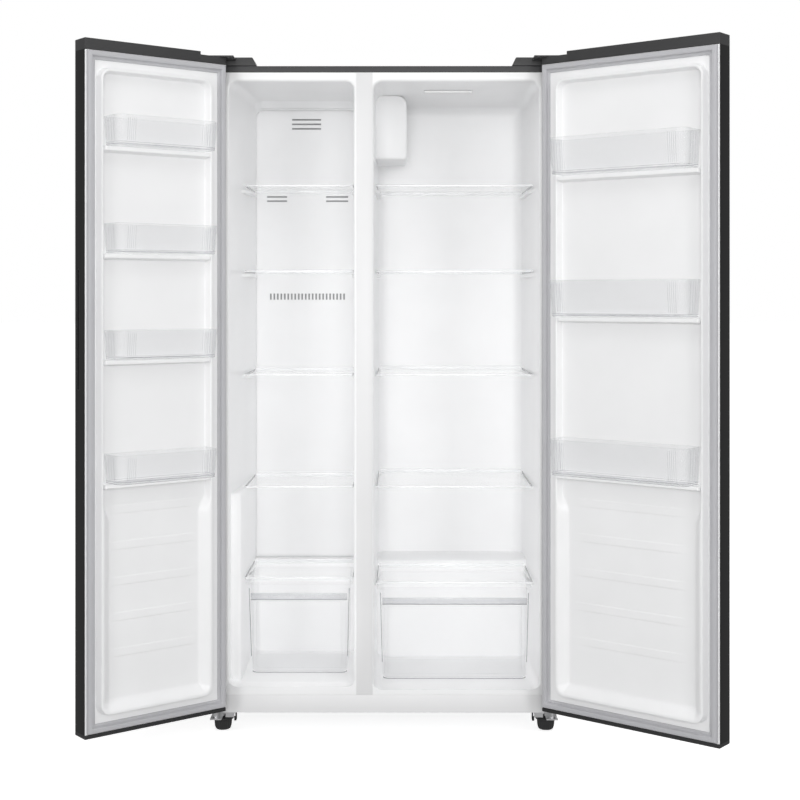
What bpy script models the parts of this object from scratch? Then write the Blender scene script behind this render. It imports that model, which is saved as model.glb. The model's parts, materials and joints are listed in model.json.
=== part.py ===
"""Side-by-side refrigerator, free standing, both doors standing open.

Frame: +X to the right seen from the front, +Y to the back, +Z up, metres.  The origin lies
on the floor, in the middle of the box around the whole object with its doors open.

Cabinet coordinates, used below, have x = 0 in the middle of the cabinet and y = 0 on the
face that the door seals close against; CAB_X and CAB_Y carry them to the frame above.
Door coordinates have u = 0 on the hinge edge of a door, growing to its free edge.
"""

import math

import bmesh
import bpy
from mathutils import Matrix

# ---------------------------------------------------------------- driving dimensions
WIDTH = 0.910  # cabinet
HEIGHT = 1.786  # top of the doors and of the hinge covers
CAB_TOP = 1.763
CAB_BOTTOM = 0.056
CAB_DEPTH = 0.575  # seal face to back edge
DOOR_THICK = 0.056
SEAL_GAP = 0.012  # door inner face to seal face, closed
DOOR_BOTTOM = 0.0745
FREEZER_DOOR_W = 0.400
FRIDGE_DOOR_W = 0.504
OPEN_DEG = 141.5  # how far both doors stand open
PIVOT_IN = 0.015  # hinge axis, inwards from the door's hinge edge
PIVOT_FWD = 0.027  # hinge axis, in front of the door's inner face

CAB_X = -0.0407  # cabinet middle in the object's frame
CAB_Y = -0.0913  # seal face in the object's frame

GAP = 0.0003  # between pieces that touch
SHEET = 0.0012  # steel wrap
LINER_T = 0.0016  # vacuum-formed liners
CAP_TOP_H = 0.028  # door end caps
CAP_BOTTOM_H = 0.010
HINGE_STEP_W = 0.075  # lowered end of the top cap, under the hinge
HINGE_STEP_Z = 1.7755
PIN_R = 0.005
SHELF_Z = (1.457, 1.225, 0.944, 0.640)  # glass tops
FREEZER_COVER_Z, FRIDGE_COVER_Z = 0.394, 0.3815  # glass tops over the drawers
SHELF_FRONT = 0.100
FREEZER_SHELF_X = (-0.3785, -0.0852)
FRIDGE_SHELF_X = (-0.0225, 0.4010)
FREEZER_SHELF_BACK = 0.360
FRIDGE_SHELF_BACK = 0.450
COVER_BACK = 0.345
FREEZER_BINS_Z = (1.524, 1.261, 1.000, 0.697)
FRIDGE_BINS_Z = (1.464, 1.104, 0.702)
FREEZER_BIN_H = 0.072
FRIDGE_BIN_H = 0.092
BIN_REACH = 0.085  # bin front, from the door's inner face
HANDLE_Z = (0.924, 1.222)  # finger groove in the freezer door's free edge
HANDLE_Y = (-0.0180, -0.0030)
HANDLE_DEEP = 0.026
GRIP_INSERT = 0.034  # depth of the moulded insert that the groove is part of
GRIP_ENDS = 0.010  # how far it goes on past the groove's ends
FOOT_X = 0.431
FOOT_Y = 0.050
HUMP_Y = 0.360  # liner step over the compressor room
HUMP_Z = 0.394
ROOM_Y = 0.405  # compressor room
ROOM_Z = 0.352
BACK_Y = 0.500  # inner back wall of both compartments
DUCT_Y = 0.405  # front of the freezer's air duct cover

HALF = WIDTH / 2
DOOR_OUT = PIVOT_FWD - DOOR_THICK  # door's outer face, from the hinge axis
PIVOT_Y = -(SEAL_GAP + PIVOT_FWD)
CAP_TOP_Z = HEIGHT - CAP_TOP_H
CAP_BOTTOM_Z = DOOR_BOTTOM + CAP_BOTTOM_H


# ---------------------------------------------------------------- scene and materials
for old in list(bpy.data.objects):
    bpy.data.objects.remove(old, do_unlink=True)

LOOKS = {  # colour, roughness, metallic, alpha
    "black_paint": ((0.020, 0.020, 0.022), 0.35, 0.4, 1.0),
    "grey_paint": ((0.085, 0.085, 0.088), 0.45, 0.3, 1.0),
    "white_paint": ((0.80, 0.80, 0.80), 0.40, 0.0, 1.0),
    "liner_white": ((0.86, 0.86, 0.87), 0.35, 0.0, 1.0),
    "cover_white": ((0.82, 0.83, 0.84), 0.40, 0.0, 1.0),
    "seal_grey": ((0.45, 0.45, 0.47), 0.60, 0.0, 1.0),
    "clear_glass": ((0.85, 0.90, 0.90), 0.05, 0.0, 0.35),
    "clear_plastic": ((0.88, 0.90, 0.91), 0.12, 0.0, 0.45),
    "black_plastic": ((0.018, 0.018, 0.019), 0.55, 0.0, 1.0),
    "dark_plastic": ((0.075, 0.075, 0.080), 0.55, 0.0, 1.0),
    "zinc_steel": ((0.62, 0.62, 0.62), 0.35, 0.9, 1.0),
    "galvanised": ((0.50, 0.51, 0.52), 0.50, 0.8, 1.0),
    "aluminium": ((0.74, 0.75, 0.76), 0.35, 0.9, 1.0),
    "foam": ((0.80, 0.74, 0.55), 0.90, 0.0, 1.0),
    "lamp_white": ((0.95, 0.95, 0.92), 0.30, 0.0, 1.0),
}


def look(name):
    material = bpy.data.materials.get(name)
    if material is None:
        material = bpy.data.materials.new(name)
        material.use_nodes = True
        shader = material.node_tree.nodes["Principled BSDF"]
        colour, rough, metal, alpha = LOOKS[name]
        shader.inputs["Base Color"].default_value = (*colour, 1.0)
        shader.inputs["Roughness"].default_value = rough
        shader.inputs["Metallic"].default_value = metal
        shader.inputs["Alpha"].default_value = alpha
    return material


# ---------------------------------------------------------------- mesh helpers
def mesh_object(name, verts, faces, material, at=(CAB_X, CAB_Y, 0.0), parent=None):
    mesh = bpy.data.meshes.new(name)
    bm = bmesh.new()
    made = [bm.verts.new(v) for v in verts]
    for face in faces:
        bm.faces.new([made[i] for i in face])
    bmesh.ops.recalc_face_normals(bm, faces=bm.faces)
    bm.to_mesh(mesh)
    bm.free()
    obj = bpy.data.objects.new(name, mesh)
    bpy.context.scene.collection.objects.link(obj)
    obj.data.materials.append(look(material))
    obj.location = at
    obj.parent = parent
    return obj


def combine(obj, others, operation):
    """Boolean union or difference of obj with helper objects, which are used up."""
    for other in others:
        other.hide_render = True
        other.display_type = "WIRE"
        modifier = obj.modifiers.new(operation.lower(), "BOOLEAN")
        modifier.operation = operation
        modifier.solver = "EXACT"
        modifier.object = other
        graph = bpy.context.evaluated_depsgraph_get()
        mesh = bpy.data.meshes.new_from_object(obj.evaluated_get(graph))
        obj.modifiers.clear()
        obj.data = mesh
        bpy.data.objects.remove(other, do_unlink=True)
    return obj


def cut(obj, *others):
    return combine(obj, others, "DIFFERENCE")


def fuse(obj, *others):
    return combine(obj, others, "UNION")


def flatten(obj):
    """Dissolves the edges inside flat faces, and shades round faces smooth."""
    bm = bmesh.new()
    bm.from_mesh(obj.data)
    bmesh.ops.dissolve_limit(
        bm, angle_limit=math.radians(0.2), verts=bm.verts, edges=bm.edges
    )
    bm.to_mesh(obj.data)
    bm.free()
    return obj


def smooth(obj, degrees=32):
    obj.data.shade_smooth()
    obj.data.set_sharp_from_angle(angle=math.radians(degrees))
    return obj


def blocks(name, add, remove, material, **where):
    """One solid from boxes ((x0, x1), (y0, y1), (z0, z1)), less the boxes in remove."""
    cuts = [sorted({v for box in add + remove for v in box[k]}) for k in range(3)]
    size = [len(c) - 1 for c in cuts]

    def inside(i, j, k):
        if not (0 <= i < size[0] and 0 <= j < size[1] and 0 <= k < size[2]):
            return False
        middle = [(cuts[a][n] + cuts[a][n + 1]) / 2 for a, n in enumerate((i, j, k))]

        def holds(box):
            return all(box[a][0] < middle[a] < box[a][1] for a in range(3))

        return any(map(holds, add)) and not any(map(holds, remove))

    verts, index, faces = [], {}, []

    def corner(i, j, k):
        if (i, j, k) not in index:
            index[i, j, k] = len(verts)
            verts.append((cuts[0][i], cuts[1][j], cuts[2][k]))
        return index[i, j, k]

    sides = (
        ((1, 0, 0), ((1, 0, 0), (1, 1, 0), (1, 1, 1), (1, 0, 1))),
        ((-1, 0, 0), ((0, 0, 0), (0, 0, 1), (0, 1, 1), (0, 1, 0))),
        ((0, 1, 0), ((0, 1, 0), (0, 1, 1), (1, 1, 1), (1, 1, 0))),
        ((0, -1, 0), ((0, 0, 0), (1, 0, 0), (1, 0, 1), (0, 0, 1))),
        ((0, 0, 1), ((0, 0, 1), (1, 0, 1), (1, 1, 1), (0, 1, 1))),
        ((0, 0, -1), ((0, 0, 0), (0, 1, 0), (1, 1, 0), (1, 0, 0))),
    )
    for i in range(size[0]):
        for j in range(size[1]):
            for k in range(size[2]):
                if not inside(i, j, k):
                    continue
                for step, quad in sides:
                    if not inside(i + step[0], j + step[1], k + step[2]):
                        faces.append([corner(i + a, j + b, k + c) for a, b, c in quad])
    return flatten(mesh_object(name, verts, faces, material, **where))


def round_rect(a0, a1, b0, b1, radii, seg=5):
    """Points of a rounded rectangle, anticlockwise from the (a0, b0) corner."""
    if not isinstance(radii, (tuple, list)):
        radii = (radii,) * 4
    corners = ((a0, b0, 1, 1), (a1, b0, -1, 1), (a1, b1, -1, -1), (a0, b1, 1, -1))
    points = []
    for n, ((a, b, sa, sb), r) in enumerate(zip(corners, radii)):
        start = math.pi + n * math.pi / 2
        for s in range(seg + 1):
            t = start + s / seg * math.pi / 2
            points.append(
                (a + sa * r + r * math.cos(t), b + sb * r + r * math.sin(t))
            )
    return points


def loft(name, rings, material, closed=False, **where):
    """Skins rings of points with equal counts; the two ends are capped unless closed."""
    count = len(rings[0])
    verts = [p for ring in rings for p in ring]
    faces = []
    for n in range(len(rings) if closed else len(rings) - 1):
        a, b = n * count, (n + 1) % len(rings) * count
        for i in range(count):
            j = (i + 1) % count
            faces.append((a + i, a + j, b + j, b + i))
    if not closed:
        faces += [
            tuple(range(count)),
            tuple(range(len(verts) - 1, len(verts) - count - 1, -1)),
        ]
    return mesh_object(name, verts, faces, material, **where)


def prism(name, outline, low, high, material, axis="z", **where):
    """A flat outline, in the two axes other than axis, extruded from low to high."""
    order = {
        "x": lambda a, b, c: (c, a, b),
        "y": lambda a, b, c: (a, c, b),
        "z": lambda a, b, c: (a, b, c),
    }
    rings = [[order[axis](a, b, c) for a, b in outline] for c in (low, high)]
    return loft(name, rings, material, **where)


def turned(name, profile, material, sides=24, axis="z", **where):
    """A profile of (radius, height) turned about an axis; both ends are capped."""
    order = {
        "x": lambda a, b, c: (c, a, b),
        "y": lambda a, b, c: (a, c, b),
        "z": lambda a, b, c: (a, b, c),
    }
    rings = []
    for r, h in profile:
        rings.append(
            [
                order[axis](
                    r * math.cos(2 * math.pi * s / sides),
                    r * math.sin(2 * math.pi * s / sides),
                    h,
                )
                for s in range(sides)
            ]
        )
    return smooth(loft(name, rings, material, **where))


def rod(x, y, z0, z1, r, sides=24, axis="z", **where):
    """Helper cylinder along an axis, for unions and cuts."""
    obj = turned("helper", ((r, z0), (r, z1)), "zinc_steel", sides, axis, **where)
    shift = {"z": (x, y, 0), "x": (0, x, y), "y": (x, 0, y)}[axis]
    obj.data.transform(Matrix.Translation(shift))
    return obj


def box(x, y, z, **where):
    return blocks("helper", [(x, y, z)], [], "zinc_steel", **where)


def mirrored(span, side):
    return tuple(sorted((side * span[0], side * span[1])))


# ---------------------------------------------------------------- compartments
FREEZER_FLOOR, FRIDGE_FLOOR = 0.130, 0.116
FREEZER_RINGS = (  # y, x0, x1, z0, z1, corner radius of the inner surface
    (0.000, -0.4120, -0.0780, 0.1190, 1.7250, 0.024),
    (0.008, -0.4085, -0.0805, 0.1215, 1.7220, 0.022),
    (0.040, -0.4060, -0.0807, FREEZER_FLOOR, 1.7218, 0.022),
    (0.360, -0.3805, -0.0830, FREEZER_FLOOR, 1.7200, 0.022),
    (0.405, -0.3800, -0.0832, FREEZER_FLOOR, 1.7000, 0.022),
    (BACK_Y, -0.3800, -0.0832, FREEZER_FLOOR, 1.7000, 0.022),
)
FRIDGE_RINGS = (
    (0.000, -0.0300, 0.4115, 0.1165, 1.7250, 0.024),
    (0.008, -0.0275, 0.4085, FRIDGE_FLOOR, 1.7220, 0.022),
    (0.040, -0.0274, 0.4081, FRIDGE_FLOOR, 1.7217, 0.022),
    (0.460, -0.0255, 0.4035, FRIDGE_FLOOR, 1.7180, 0.022),
    (0.486, -0.0215, 0.3995, FRIDGE_FLOOR + 0.004, 1.7140, 0.022),
    (BACK_Y, -0.0105, 0.3885, FRIDGE_FLOOR + 0.015, 1.7030, 0.022),
)
BULGE_X = -0.3815  # lower left wall of the freezer, thicker than above
BULGE_TOP = 0.632  # the lowest glass shelf stands on it


def compartment(rings, grow, freezer):
    """The room inside a liner as a solid, grown outwards by grow."""
    loops = []
    for n, (y, x0, x1, z0, z1, r) in enumerate(rings):
        last = n == len(rings) - 1
        plan = round_rect(x0 - grow, x1 + grow, z0 - grow, z1 + grow, r + grow)
        depth = y + grow if last else (-0.02 if n == 0 else y)
        if n == 0:
            loops.append([(a, depth, b) for a, b in plan])
            depth = 0.0
        loops.append([(a, depth, b) for a, b in plan])
    room = loft("helper", loops, "foam")
    step = box(
        (-0.5, 0.5), (HUMP_Y + grow, 0.7), (0.0, HUMP_Z - grow)
    )
    cut(room, step)
    if freezer:
        x = BULGE_X - grow
        rings_z = ((0.05, 0.0), (BULGE_TOP - 0.010 - grow, 0.0), (BULGE_TOP - grow, 0.008))
        outline = []
        for z, inset in rings_z:
            front = 0.030 + grow + inset
            corner = x - inset
            points = [(-0.6, front), (corner - 0.012, front)]
            for s in range(1, 5):
                t = -math.pi / 2 + s * math.pi / 8
                points.append(
                    (
                        corner - 0.012 + 0.012 * math.cos(t),
                        front + 0.012 + 0.012 * math.sin(t),
                    )
                )
            points += [(corner, 0.7), (-0.6, 0.7)]
            outline.append([(a, b, z) for a, b in points])
        cut(room, loft("helper", outline, "foam"))
    return room


def wall_x(rings, right, y):
    """x of the liner's inner side wall at depth y."""
    pick = 2 if right else 1
    for (ya, *a), (yb, *b) in zip(rings, rings[1:]):
        if ya <= y <= yb:
            t = (y - ya) / (yb - ya)
            return a[pick - 1] * (1 - t) + b[pick - 1] * t
    return rings[-1][pick]


def ledge(rings, right, y0, y1, inner, z0, z1, wall=None):
    """A rib moulded on a side wall, that a shelf or a drawer's rim lies on."""
    embed = 0.0008 * (1 if right else -1)
    if wall is None:
        outer = [(wall_x(rings, right, y) + embed, y) for y in (y0, y1)]
    else:
        outer = [(wall + embed, y) for y in (y0, y1)]
    outline = [outer[0], outer[1], (inner, y1), (inner, y0)]
    return prism("helper", outline, z0, z1, "liner_white")


def make_liner(name, rings, flange_x, freezer, shelf_x, shelf_back):
    liner = compartment(rings, LINER_T, freezer)
    liner.name = liner.data.name = name
    cut(liner, box((-0.6, 0.6), (-0.1, 0.0), (0.0, 2.0)))
    fuse(liner, box(flange_x, (0.0, LINER_T), (0.1037, 1.7457)))
    cut(liner, compartment(rings, 0.0, freezer))
    ribs = []
    for z in SHELF_Z:
        low, high = z - 0.0165, z - 0.0068
        back = shelf_back - 0.020
        if not (freezer and z == SHELF_Z[-1]):
            ribs.append(ledge(rings, False, 0.112, back, shelf_x[0] + 0.008, low, high))
        ribs.append(ledge(rings, True, 0.112, back, shelf_x[1] - 0.008, low, high))
    left = BULGE_X if freezer else None
    back = COVER_BACK - 0.012
    cover = FREEZER_COVER_Z if freezer else FRIDGE_COVER_Z
    for low, high in ((cover - 0.0115, cover - 0.0068), (cover - 0.0300, cover - 0.0195)):
        ribs.append(ledge(rings, False, 0.110, back, shelf_x[0] + 0.006, low, high, left))
        ribs.append(ledge(rings, True, 0.110, back, shelf_x[1] - 0.006, low, high))
    fuse(liner, *ribs)
    liner.data.materials.clear()
    liner.data.materials.append(look("liner_white"))
    return smooth(flatten(liner))


freezer_liner = make_liner(
    "freezer_liner", FREEZER_RINGS, (-0.4377, -0.0727), True,
    FREEZER_SHELF_X, FREEZER_SHELF_BACK,
)
fridge_liner = make_liner(
    "fridge_liner", FRIDGE_RINGS, (-0.0318, 0.4377), False,
    FRIDGE_SHELF_X, FRIDGE_SHELF_BACK,
)

# ---------------------------------------------------------------- cabinet body
LIP = 0.017
blocks(
    "cabinet_shell",
    [
        ((-HALF, -HALF + SHEET), (0.0, CAB_DEPTH), (CAB_BOTTOM, CAB_TOP)),
        ((HALF - SHEET, HALF), (0.0, CAB_DEPTH), (CAB_BOTTOM, CAB_TOP)),
        ((-HALF, HALF), (0.0, CAB_DEPTH), (CAB_TOP - SHEET, CAB_TOP)),
        ((-HALF, -HALF + LIP), (0.0, SHEET), (0.104, CAB_TOP)),
        ((HALF - LIP, HALF), (0.0, SHEET), (0.104, CAB_TOP)),
        ((-HALF, HALF), (0.0, SHEET), (CAB_TOP - LIP, CAB_TOP)),
    ],
    [],
    "grey_paint",
)
INSIDE = HALF - SHEET - GAP
foam = blocks(
    "cabinet_foam",
    [
        (
            (-INSIDE, INSIDE),
            (LINER_T + GAP, CAB_DEPTH - 0.0018),
            (CAB_BOTTOM + 0.0018, CAB_TOP - SHEET - GAP),
        )
    ],
    [((-0.5, 0.5), (ROOM_Y, 0.6), (0.0, ROOM_Z))],
    "foam",
)
cut(
    foam,
    compartment(FREEZER_RINGS, LINER_T + GAP, True),
    compartment(FRIDGE_RINGS, LINER_T + GAP, False),
)
flatten(foam)
blocks(
    "back_panel",
    [((-INSIDE, INSIDE), (0.5735, 0.5747), (ROOM_Z + 0.0006, CAB_TOP - SHEET - GAP))],
    [],
    "galvanised",
)
blocks(
    "mullion_cover",
    [((-0.0724, -0.0321), (0.0, LINER_T), (0.1037, 1.7457))],
    [],
    "white_paint",
)
blocks(
    "kick_plate",
    [
        ((-INSIDE, INSIDE), (0.0, 0.0014), (CAB_BOTTOM + GAP, 0.1034)),
    ],
    [],
    "white_paint",
)

# base pan with a pair of ears for each rear roller
ROLLER_X, ROLLER_Y, ROLLER_R = 0.400, 0.535, 0.024
ears = []
for side in (-1, 1):
    for offset in (-0.0150, 0.0135):
        x = side * ROLLER_X + offset
        ears.append(
            ((x, x + 0.0015), (ROLLER_Y - 0.020, ROLLER_Y + 0.020), (0.016, 0.0575))
        )
pan = blocks(
    "base_pan",
    [((-INSIDE, INSIDE), (0.0018, CAB_DEPTH - 0.001), (CAB_BOTTOM + GAP, 0.0575))] + ears,
    [],
    "galvanised",
)
for side in (-1, 1):
    x = side * ROLLER_X
    cut(
        pan,
        rod(ROLLER_Y, ROLLER_R, x - 0.020, x + 0.020, 0.0046, 16, "x"),
    )
for side, word in ((-1, "left"), (1, "right")):
    turned(
        f"rear_roller_{word}",
        (
            (0.004, -0.0162),
            (0.004, -0.0115),
            (0.0215, -0.0115),
            (ROLLER_R, -0.009),
            (ROLLER_R, 0.009),
            (0.0215, 0.0115),
            (0.004, 0.0115),
            (0.004, 0.0162),
        ),
        "dark_plastic",
        22,
        "x",
        at=(CAB_X + side * ROLLER_X, CAB_Y + ROLLER_Y, ROLLER_R),
    )

# ---------------------------------------------------------------- compressor room
body = turned(
    "compressor",
    (
        (0.086, 0.0590),
        (0.094, 0.0630),
        (0.094, 0.1500),
        (0.089, 0.1850),
        (0.072, 0.2120),
        (0.040, 0.2280),
        (0.012, 0.2320),
    ),
    "black_paint",
    28,
)
body.data.transform(Matrix.Diagonal((1.0, 0.72, 1.0, 1.0)))
body.data.transform(Matrix.Translation((0.270, 0.488, 0.0)))
fuse(
    body,
    box((0.150, 0.195), (0.468, 0.508), (0.100, 0.150)),
)
smooth(body)

fins = []
FIN_COUNT, COND_X = 13, (-0.300, -0.060)
pitch = (COND_X[1] - COND_X[0]) / FIN_COUNT
for n in range(FIN_COUNT):
    x = COND_X[0] + n * pitch
    fins.append(((x, x + 0.0018), (0.430, 0.550), (0.080, 0.255)))
blocks(
    "condenser",
    fins + [((COND_X[0], COND_X[1] - pitch + 0.0018), (0.478, 0.502), (0.060, 0.240))],
    [],
    "black_paint",
)

slots = []
for n in range(9):
    for side in (-1, 1):
        x = side * (0.09 + 0.035 * n)
        slots.append(((x - 0.006, x + 0.006), (0.5, 0.6), (0.150, 0.270)))
blocks(
    "machine_cover",
    [((-0.4530, 0.4530), (0.5700, 0.5715), (0.0580, 0.3510))],
    slots,
    "galvanised",
)

# ---------------------------------------------------------------- freezer air system
slots = []
for z in (1.6706, 1.6574, 1.6442):
    slots.append(((-0.2744, -0.1896), (0.3, 0.5), (z - 0.0024, z + 0.0024)))
for x0, x1 in ((-0.3475, -0.2890), (-0.1750, -0.1106)):
    for z in (1.4454, 1.4330):
        slots.append(((x0, x1), (0.3, 0.5), (z - 0.0022, z + 0.0022)))
for n in range(22):
    x = -0.3388 + 0.01019 * n
    slots.append(((x, x + 0.0048), (0.3, 0.5), (1.1457, 1.1633)))
DUCT_X, DUCT_Z = (-0.3785, -0.0847), (0.3965, 1.6975)


def duct_outline(inset, y):
    r, low = 0.022 - inset, 0.003 - min(inset, 0.002)
    plan = round_rect(
        DUCT_X[0] + inset, DUCT_X[1] - inset, DUCT_Z[0] + inset, DUCT_Z[1] - inset,
        (low, low, r, r), 5,
    )
    return [(a, y, b) for a, b in plan]


duct = loft(
    "duct_cover",
    [duct_outline(0.0, DUCT_Y), duct_outline(0.0, DUCT_Y + 0.0025)],
    "cover_white",
)
rim = [(0.0, 0.0010), (0.0, 0.0140), (0.0025, 0.0140), (0.0025, 0.0010)]
fuse(
    duct,
    loft("helper", [duct_outline(m, DUCT_Y + y) for m, y in rim], "cover_white", closed=True),
    rod(-0.1019, 1.1545, DUCT_Y - 0.004, DUCT_Y + 0.001, 0.0050, 16, "y"),
)
cut(duct, blocks("helper", slots, [], "cover_white"))
flatten(duct)

EVAP_X, EVAP_Z, EVAP_FINS = (-0.352, -0.112), (0.500, 0.860), 13
fins = [(EVAP_X, (0.454, 0.462), EVAP_Z)]  # the tube bank that carries the fins
for n in range(EVAP_FINS):
    x = EVAP_X[0] + n * (EVAP_X[1] - EVAP_X[0] - 0.002) / (EVAP_FINS - 1)
    fins.append(((x, x + 0.002), (0.424, 0.492), (EVAP_Z[0] + 0.012, EVAP_Z[1] - 0.012)))
blocks("evaporator", fins, [], "aluminium")

FAN_X, FAN_Z, FAN_BLADES = -0.232, 1.060, 7
motor = turned(
    "evaporator_fan_motor",
    (
        (0.0275, 0.4980),
        (0.0275, 0.4720),
        (0.0245, 0.4690),
        (0.0030, 0.4690),
        (0.0030, 0.4510),
    ),
    "dark_plastic",
    20,
    "y",
)
motor.data.transform(Matrix.Translation((FAN_X, 0.0, FAN_Z)))
fuse(
    motor,
    box((FAN_X - 0.075, FAN_X + 0.075), (0.4900, 0.4980), (FAN_Z - 0.006, FAN_Z + 0.006)),
)
smooth(motor)
fan = turned(
    "evaporator_fan",
    ((0.013, -0.013), (0.016, -0.010), (0.016, 0.006), (0.013, 0.009)),
    "black_plastic",
    20,
    "y",
    at=(CAB_X + FAN_X, CAB_Y + 0.458, FAN_Z),
)
for n in range(FAN_BLADES):
    blade = prism(
        "helper",
        [(0.012, -0.010), (0.030, -0.017), (0.052, -0.021), (0.055, 0.004), (0.050, 0.016),
         (0.030, 0.012), (0.012, 0.008)],
        -0.0009,
        0.0009,
        "black_plastic",
        "y",
        at=fan.location,
    )
    blade.data.transform(Matrix.Rotation(math.radians(28), 4, "X"))
    blade.data.transform(Matrix.Rotation(2 * math.pi * n / FAN_BLADES, 4, "Y"))
    fuse(fan, blade)
cut(fan, rod(0.0, 0.0, -0.0075, 0.02, 0.0031, 24, "y", at=fan.location))
smooth(fan)

# ---------------------------------------------------------------- fridge fittings
outline = round_rect(-0.0235, 0.0600, 1.5400, 1.7140, (0.006, 0.006, 0.026, 0.022), 5)
damper = prism("damper_housing", outline, 0.2520, 0.4550, "cover_white", "y")
smooth(damper)
blocks(
    "lamp_lens",
    [((0.1080, 0.2400), (0.1500, 0.1900), (1.7145, 1.7200))],
    [],
    "lamp_white",
)

# ---------------------------------------------------------------- shelves and drawers


def shelf(name, x, back, z, front=SHELF_FRONT):
    """Glass plate with its bonded front trim, side rails and raised back rail."""
    return blocks(
        name,
        [
            (x, (front + 0.004, back - 0.004), (z - 0.004, z)),
            (x, (front, front + 0.011), (z - 0.0062, z + 0.0035)),
            (x, (back - 0.008, back), (z - 0.0062, z + 0.0100)),
            ((x[0], x[0] + 0.008), (front, back), (z - 0.0062, z + 0.0020)),
            ((x[1] - 0.008, x[1]), (front, back), (z - 0.0062, z + 0.0020)),
        ],
        [],
        "clear_glass",
    )


for n, z in enumerate(SHELF_Z, 1):
    shelf(f"freezer_shelf_{n}", FREEZER_SHELF_X, FREEZER_SHELF_BACK, z)
    shelf(f"fridge_shelf_{n}", FRIDGE_SHELF_X, FRIDGE_SHELF_BACK, z)
shelf("freezer_drawer_cover", FREEZER_SHELF_X, COVER_BACK, FREEZER_COVER_Z, 0.095)
shelf("fridge_drawer_cover", FRIDGE_SHELF_X, COVER_BACK, FRIDGE_COVER_Z, 0.095)

DRAWER_BACK = 0.335
DRAWER_REST = 0.0018  # clearance between a drawer and the floor


def drawer(name, x, floor, cover, front):
    """A clear bin with a rim on its sides and a pull lip along its front."""
    t = 0.0026

    def at(z, inset, front, back, r):
        plan = round_rect(
            x[0] + inset, x[1] - inset, front, back, (r, r, r * 0.7, r * 0.7), 4
        )
        return [(a, b, z) for a, b in plan]

    low, top = floor + DRAWER_REST, cover - 0.0150
    rim = top - 0.004
    rings = [
        at(low + t, 0.0210 + t, front + t, DRAWER_BACK - 0.012 - t, 0.016),
        at(rim, 0.0105 + t, 0.1020 + t, DRAWER_BACK - 0.006 - t, 0.016),
        at(top, 0.0105 + t, 0.1020 + t, DRAWER_BACK - 0.006 - t, 0.016),
        at(top, 0.0015, 0.0950, DRAWER_BACK, 0.010),
        at(rim, 0.0015, 0.0950, DRAWER_BACK, 0.010),
        at(rim, 0.0105, 0.1020, DRAWER_BACK - 0.006, 0.018),
        at(low + 0.004, 0.0210, front, DRAWER_BACK - 0.012, 0.018),
        at(low, 0.0250, front + 0.004, DRAWER_BACK - 0.016, 0.016),
    ]
    made = loft(name, rings, "clear_plastic")
    lip = box(
        (x[0] + 0.014, x[1] - 0.014), (0.0945, 0.0975), (top - 0.0230, top - 0.0002)
    )
    return smooth(fuse(made, lip))


drawer("freezer_drawer", FREEZER_SHELF_X, FREEZER_FLOOR, FREEZER_COVER_Z, 0.112)
drawer("fridge_drawer", FRIDGE_SHELF_X, FRIDGE_FLOOR, FRIDGE_COVER_Z, 0.103)


# ---------------------------------------------------------------- hinges and feet
def top_hinge(name, side):
    """Cranked plate on the cabinet top, with a pin down into the door."""
    plate = [
        (mirrored((0.350, 0.4510), side), (0.0060, 0.0760), (CAB_TOP + GAP, CAB_TOP + 0.0033)),
        (mirrored((0.3935, 0.4510), side), (0.0060, 0.0100), (CAB_TOP + GAP, 1.7803)),
        (mirrored((0.3935, 0.4510), side), (-0.0600, 0.0100), (1.7773, 1.7803)),
    ]
    hinge = blocks(name, plate, [], "zinc_steel")
    return smooth(fuse(hinge, rod(side * (HALF - PIVOT_IN), PIVOT_Y, 1.7620, 1.7790, PIN_R)))


def hinge_cover(name, side):
    """Thin moulded cap over the hinge, open below, its inner end sloping."""
    top = HEIGHT
    cover = blocks(
        name,
        [
            (mirrored((0.3370, 0.4545), side), (0.0, 0.0850), (CAB_TOP + GAP, top)),
            (mirrored((0.3905, 0.4545), side), (-0.0640, 0.0), (1.7768, top)),
        ],
        [
            (mirrored((0.3387, 0.4528), side), (0.0017, 0.0833), (1.70, top - 0.0017)),
            (mirrored((0.3922, 0.4528), side), (-0.0623, 0.0030), (1.70, top - 0.0017)),
        ],
        "black_plastic",
    )
    for v in cover.data.vertices:
        if abs(v.co.x) < 0.339 and v.co.z > CAB_TOP + 0.005:
            v.co.x += side * 0.011
    return cover


def bottom_hinge(name, side):
    """Bracket under the cabinet, with a collar and a pin up into the door."""
    plate = [
        (mirrored((0.3950, 0.4525), side), (0.0030, 0.0780), (0.0526, 0.0560)),
        (mirrored((0.4230, 0.4525), side), (-0.0560, 0.0030), (0.0526, 0.0560)),
        (mirrored((0.3960, 0.4190), side), (0.0030, 0.0050), (0.0430, 0.0530)),
    ]
    bracket = blocks(name, plate, [], "zinc_steel")
    x = side * (HALF - PIVOT_IN)
    fuse(
        bracket,
        rod(x, PIVOT_Y, 0.0540, 0.0735, 0.0085),
        rod(x, PIVOT_Y, 0.0700, 0.0815, PIN_R),
    )
    cut(bracket, rod(side * FOOT_X, FOOT_Y, 0.04, 0.07, 0.0056, 16))
    return smooth(bracket)


for side, word in ((-1, "left"), (1, "right")):
    top_hinge(f"top_hinge_{word}", side)
    hinge_cover(f"hinge_cover_{word}", side)
    bottom_hinge(f"bottom_hinge_{word}", side)
    turned(
        f"front_foot_{word}",
        (
            (0.0175, 0.0),
            (0.0208, 0.0030),
            (0.0228, 0.0120),
            (0.0234, 0.0240),
            (0.0280, 0.0280),
            (0.0285, 0.0330),
            (0.0100, 0.0350),
            (0.0050, 0.0370),
            (0.0050, 0.0555),
        ),
        "black_plastic",
        24,
        at=(CAB_X + side * FOOT_X, CAB_Y + FOOT_Y, 0.0),
    )


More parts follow.
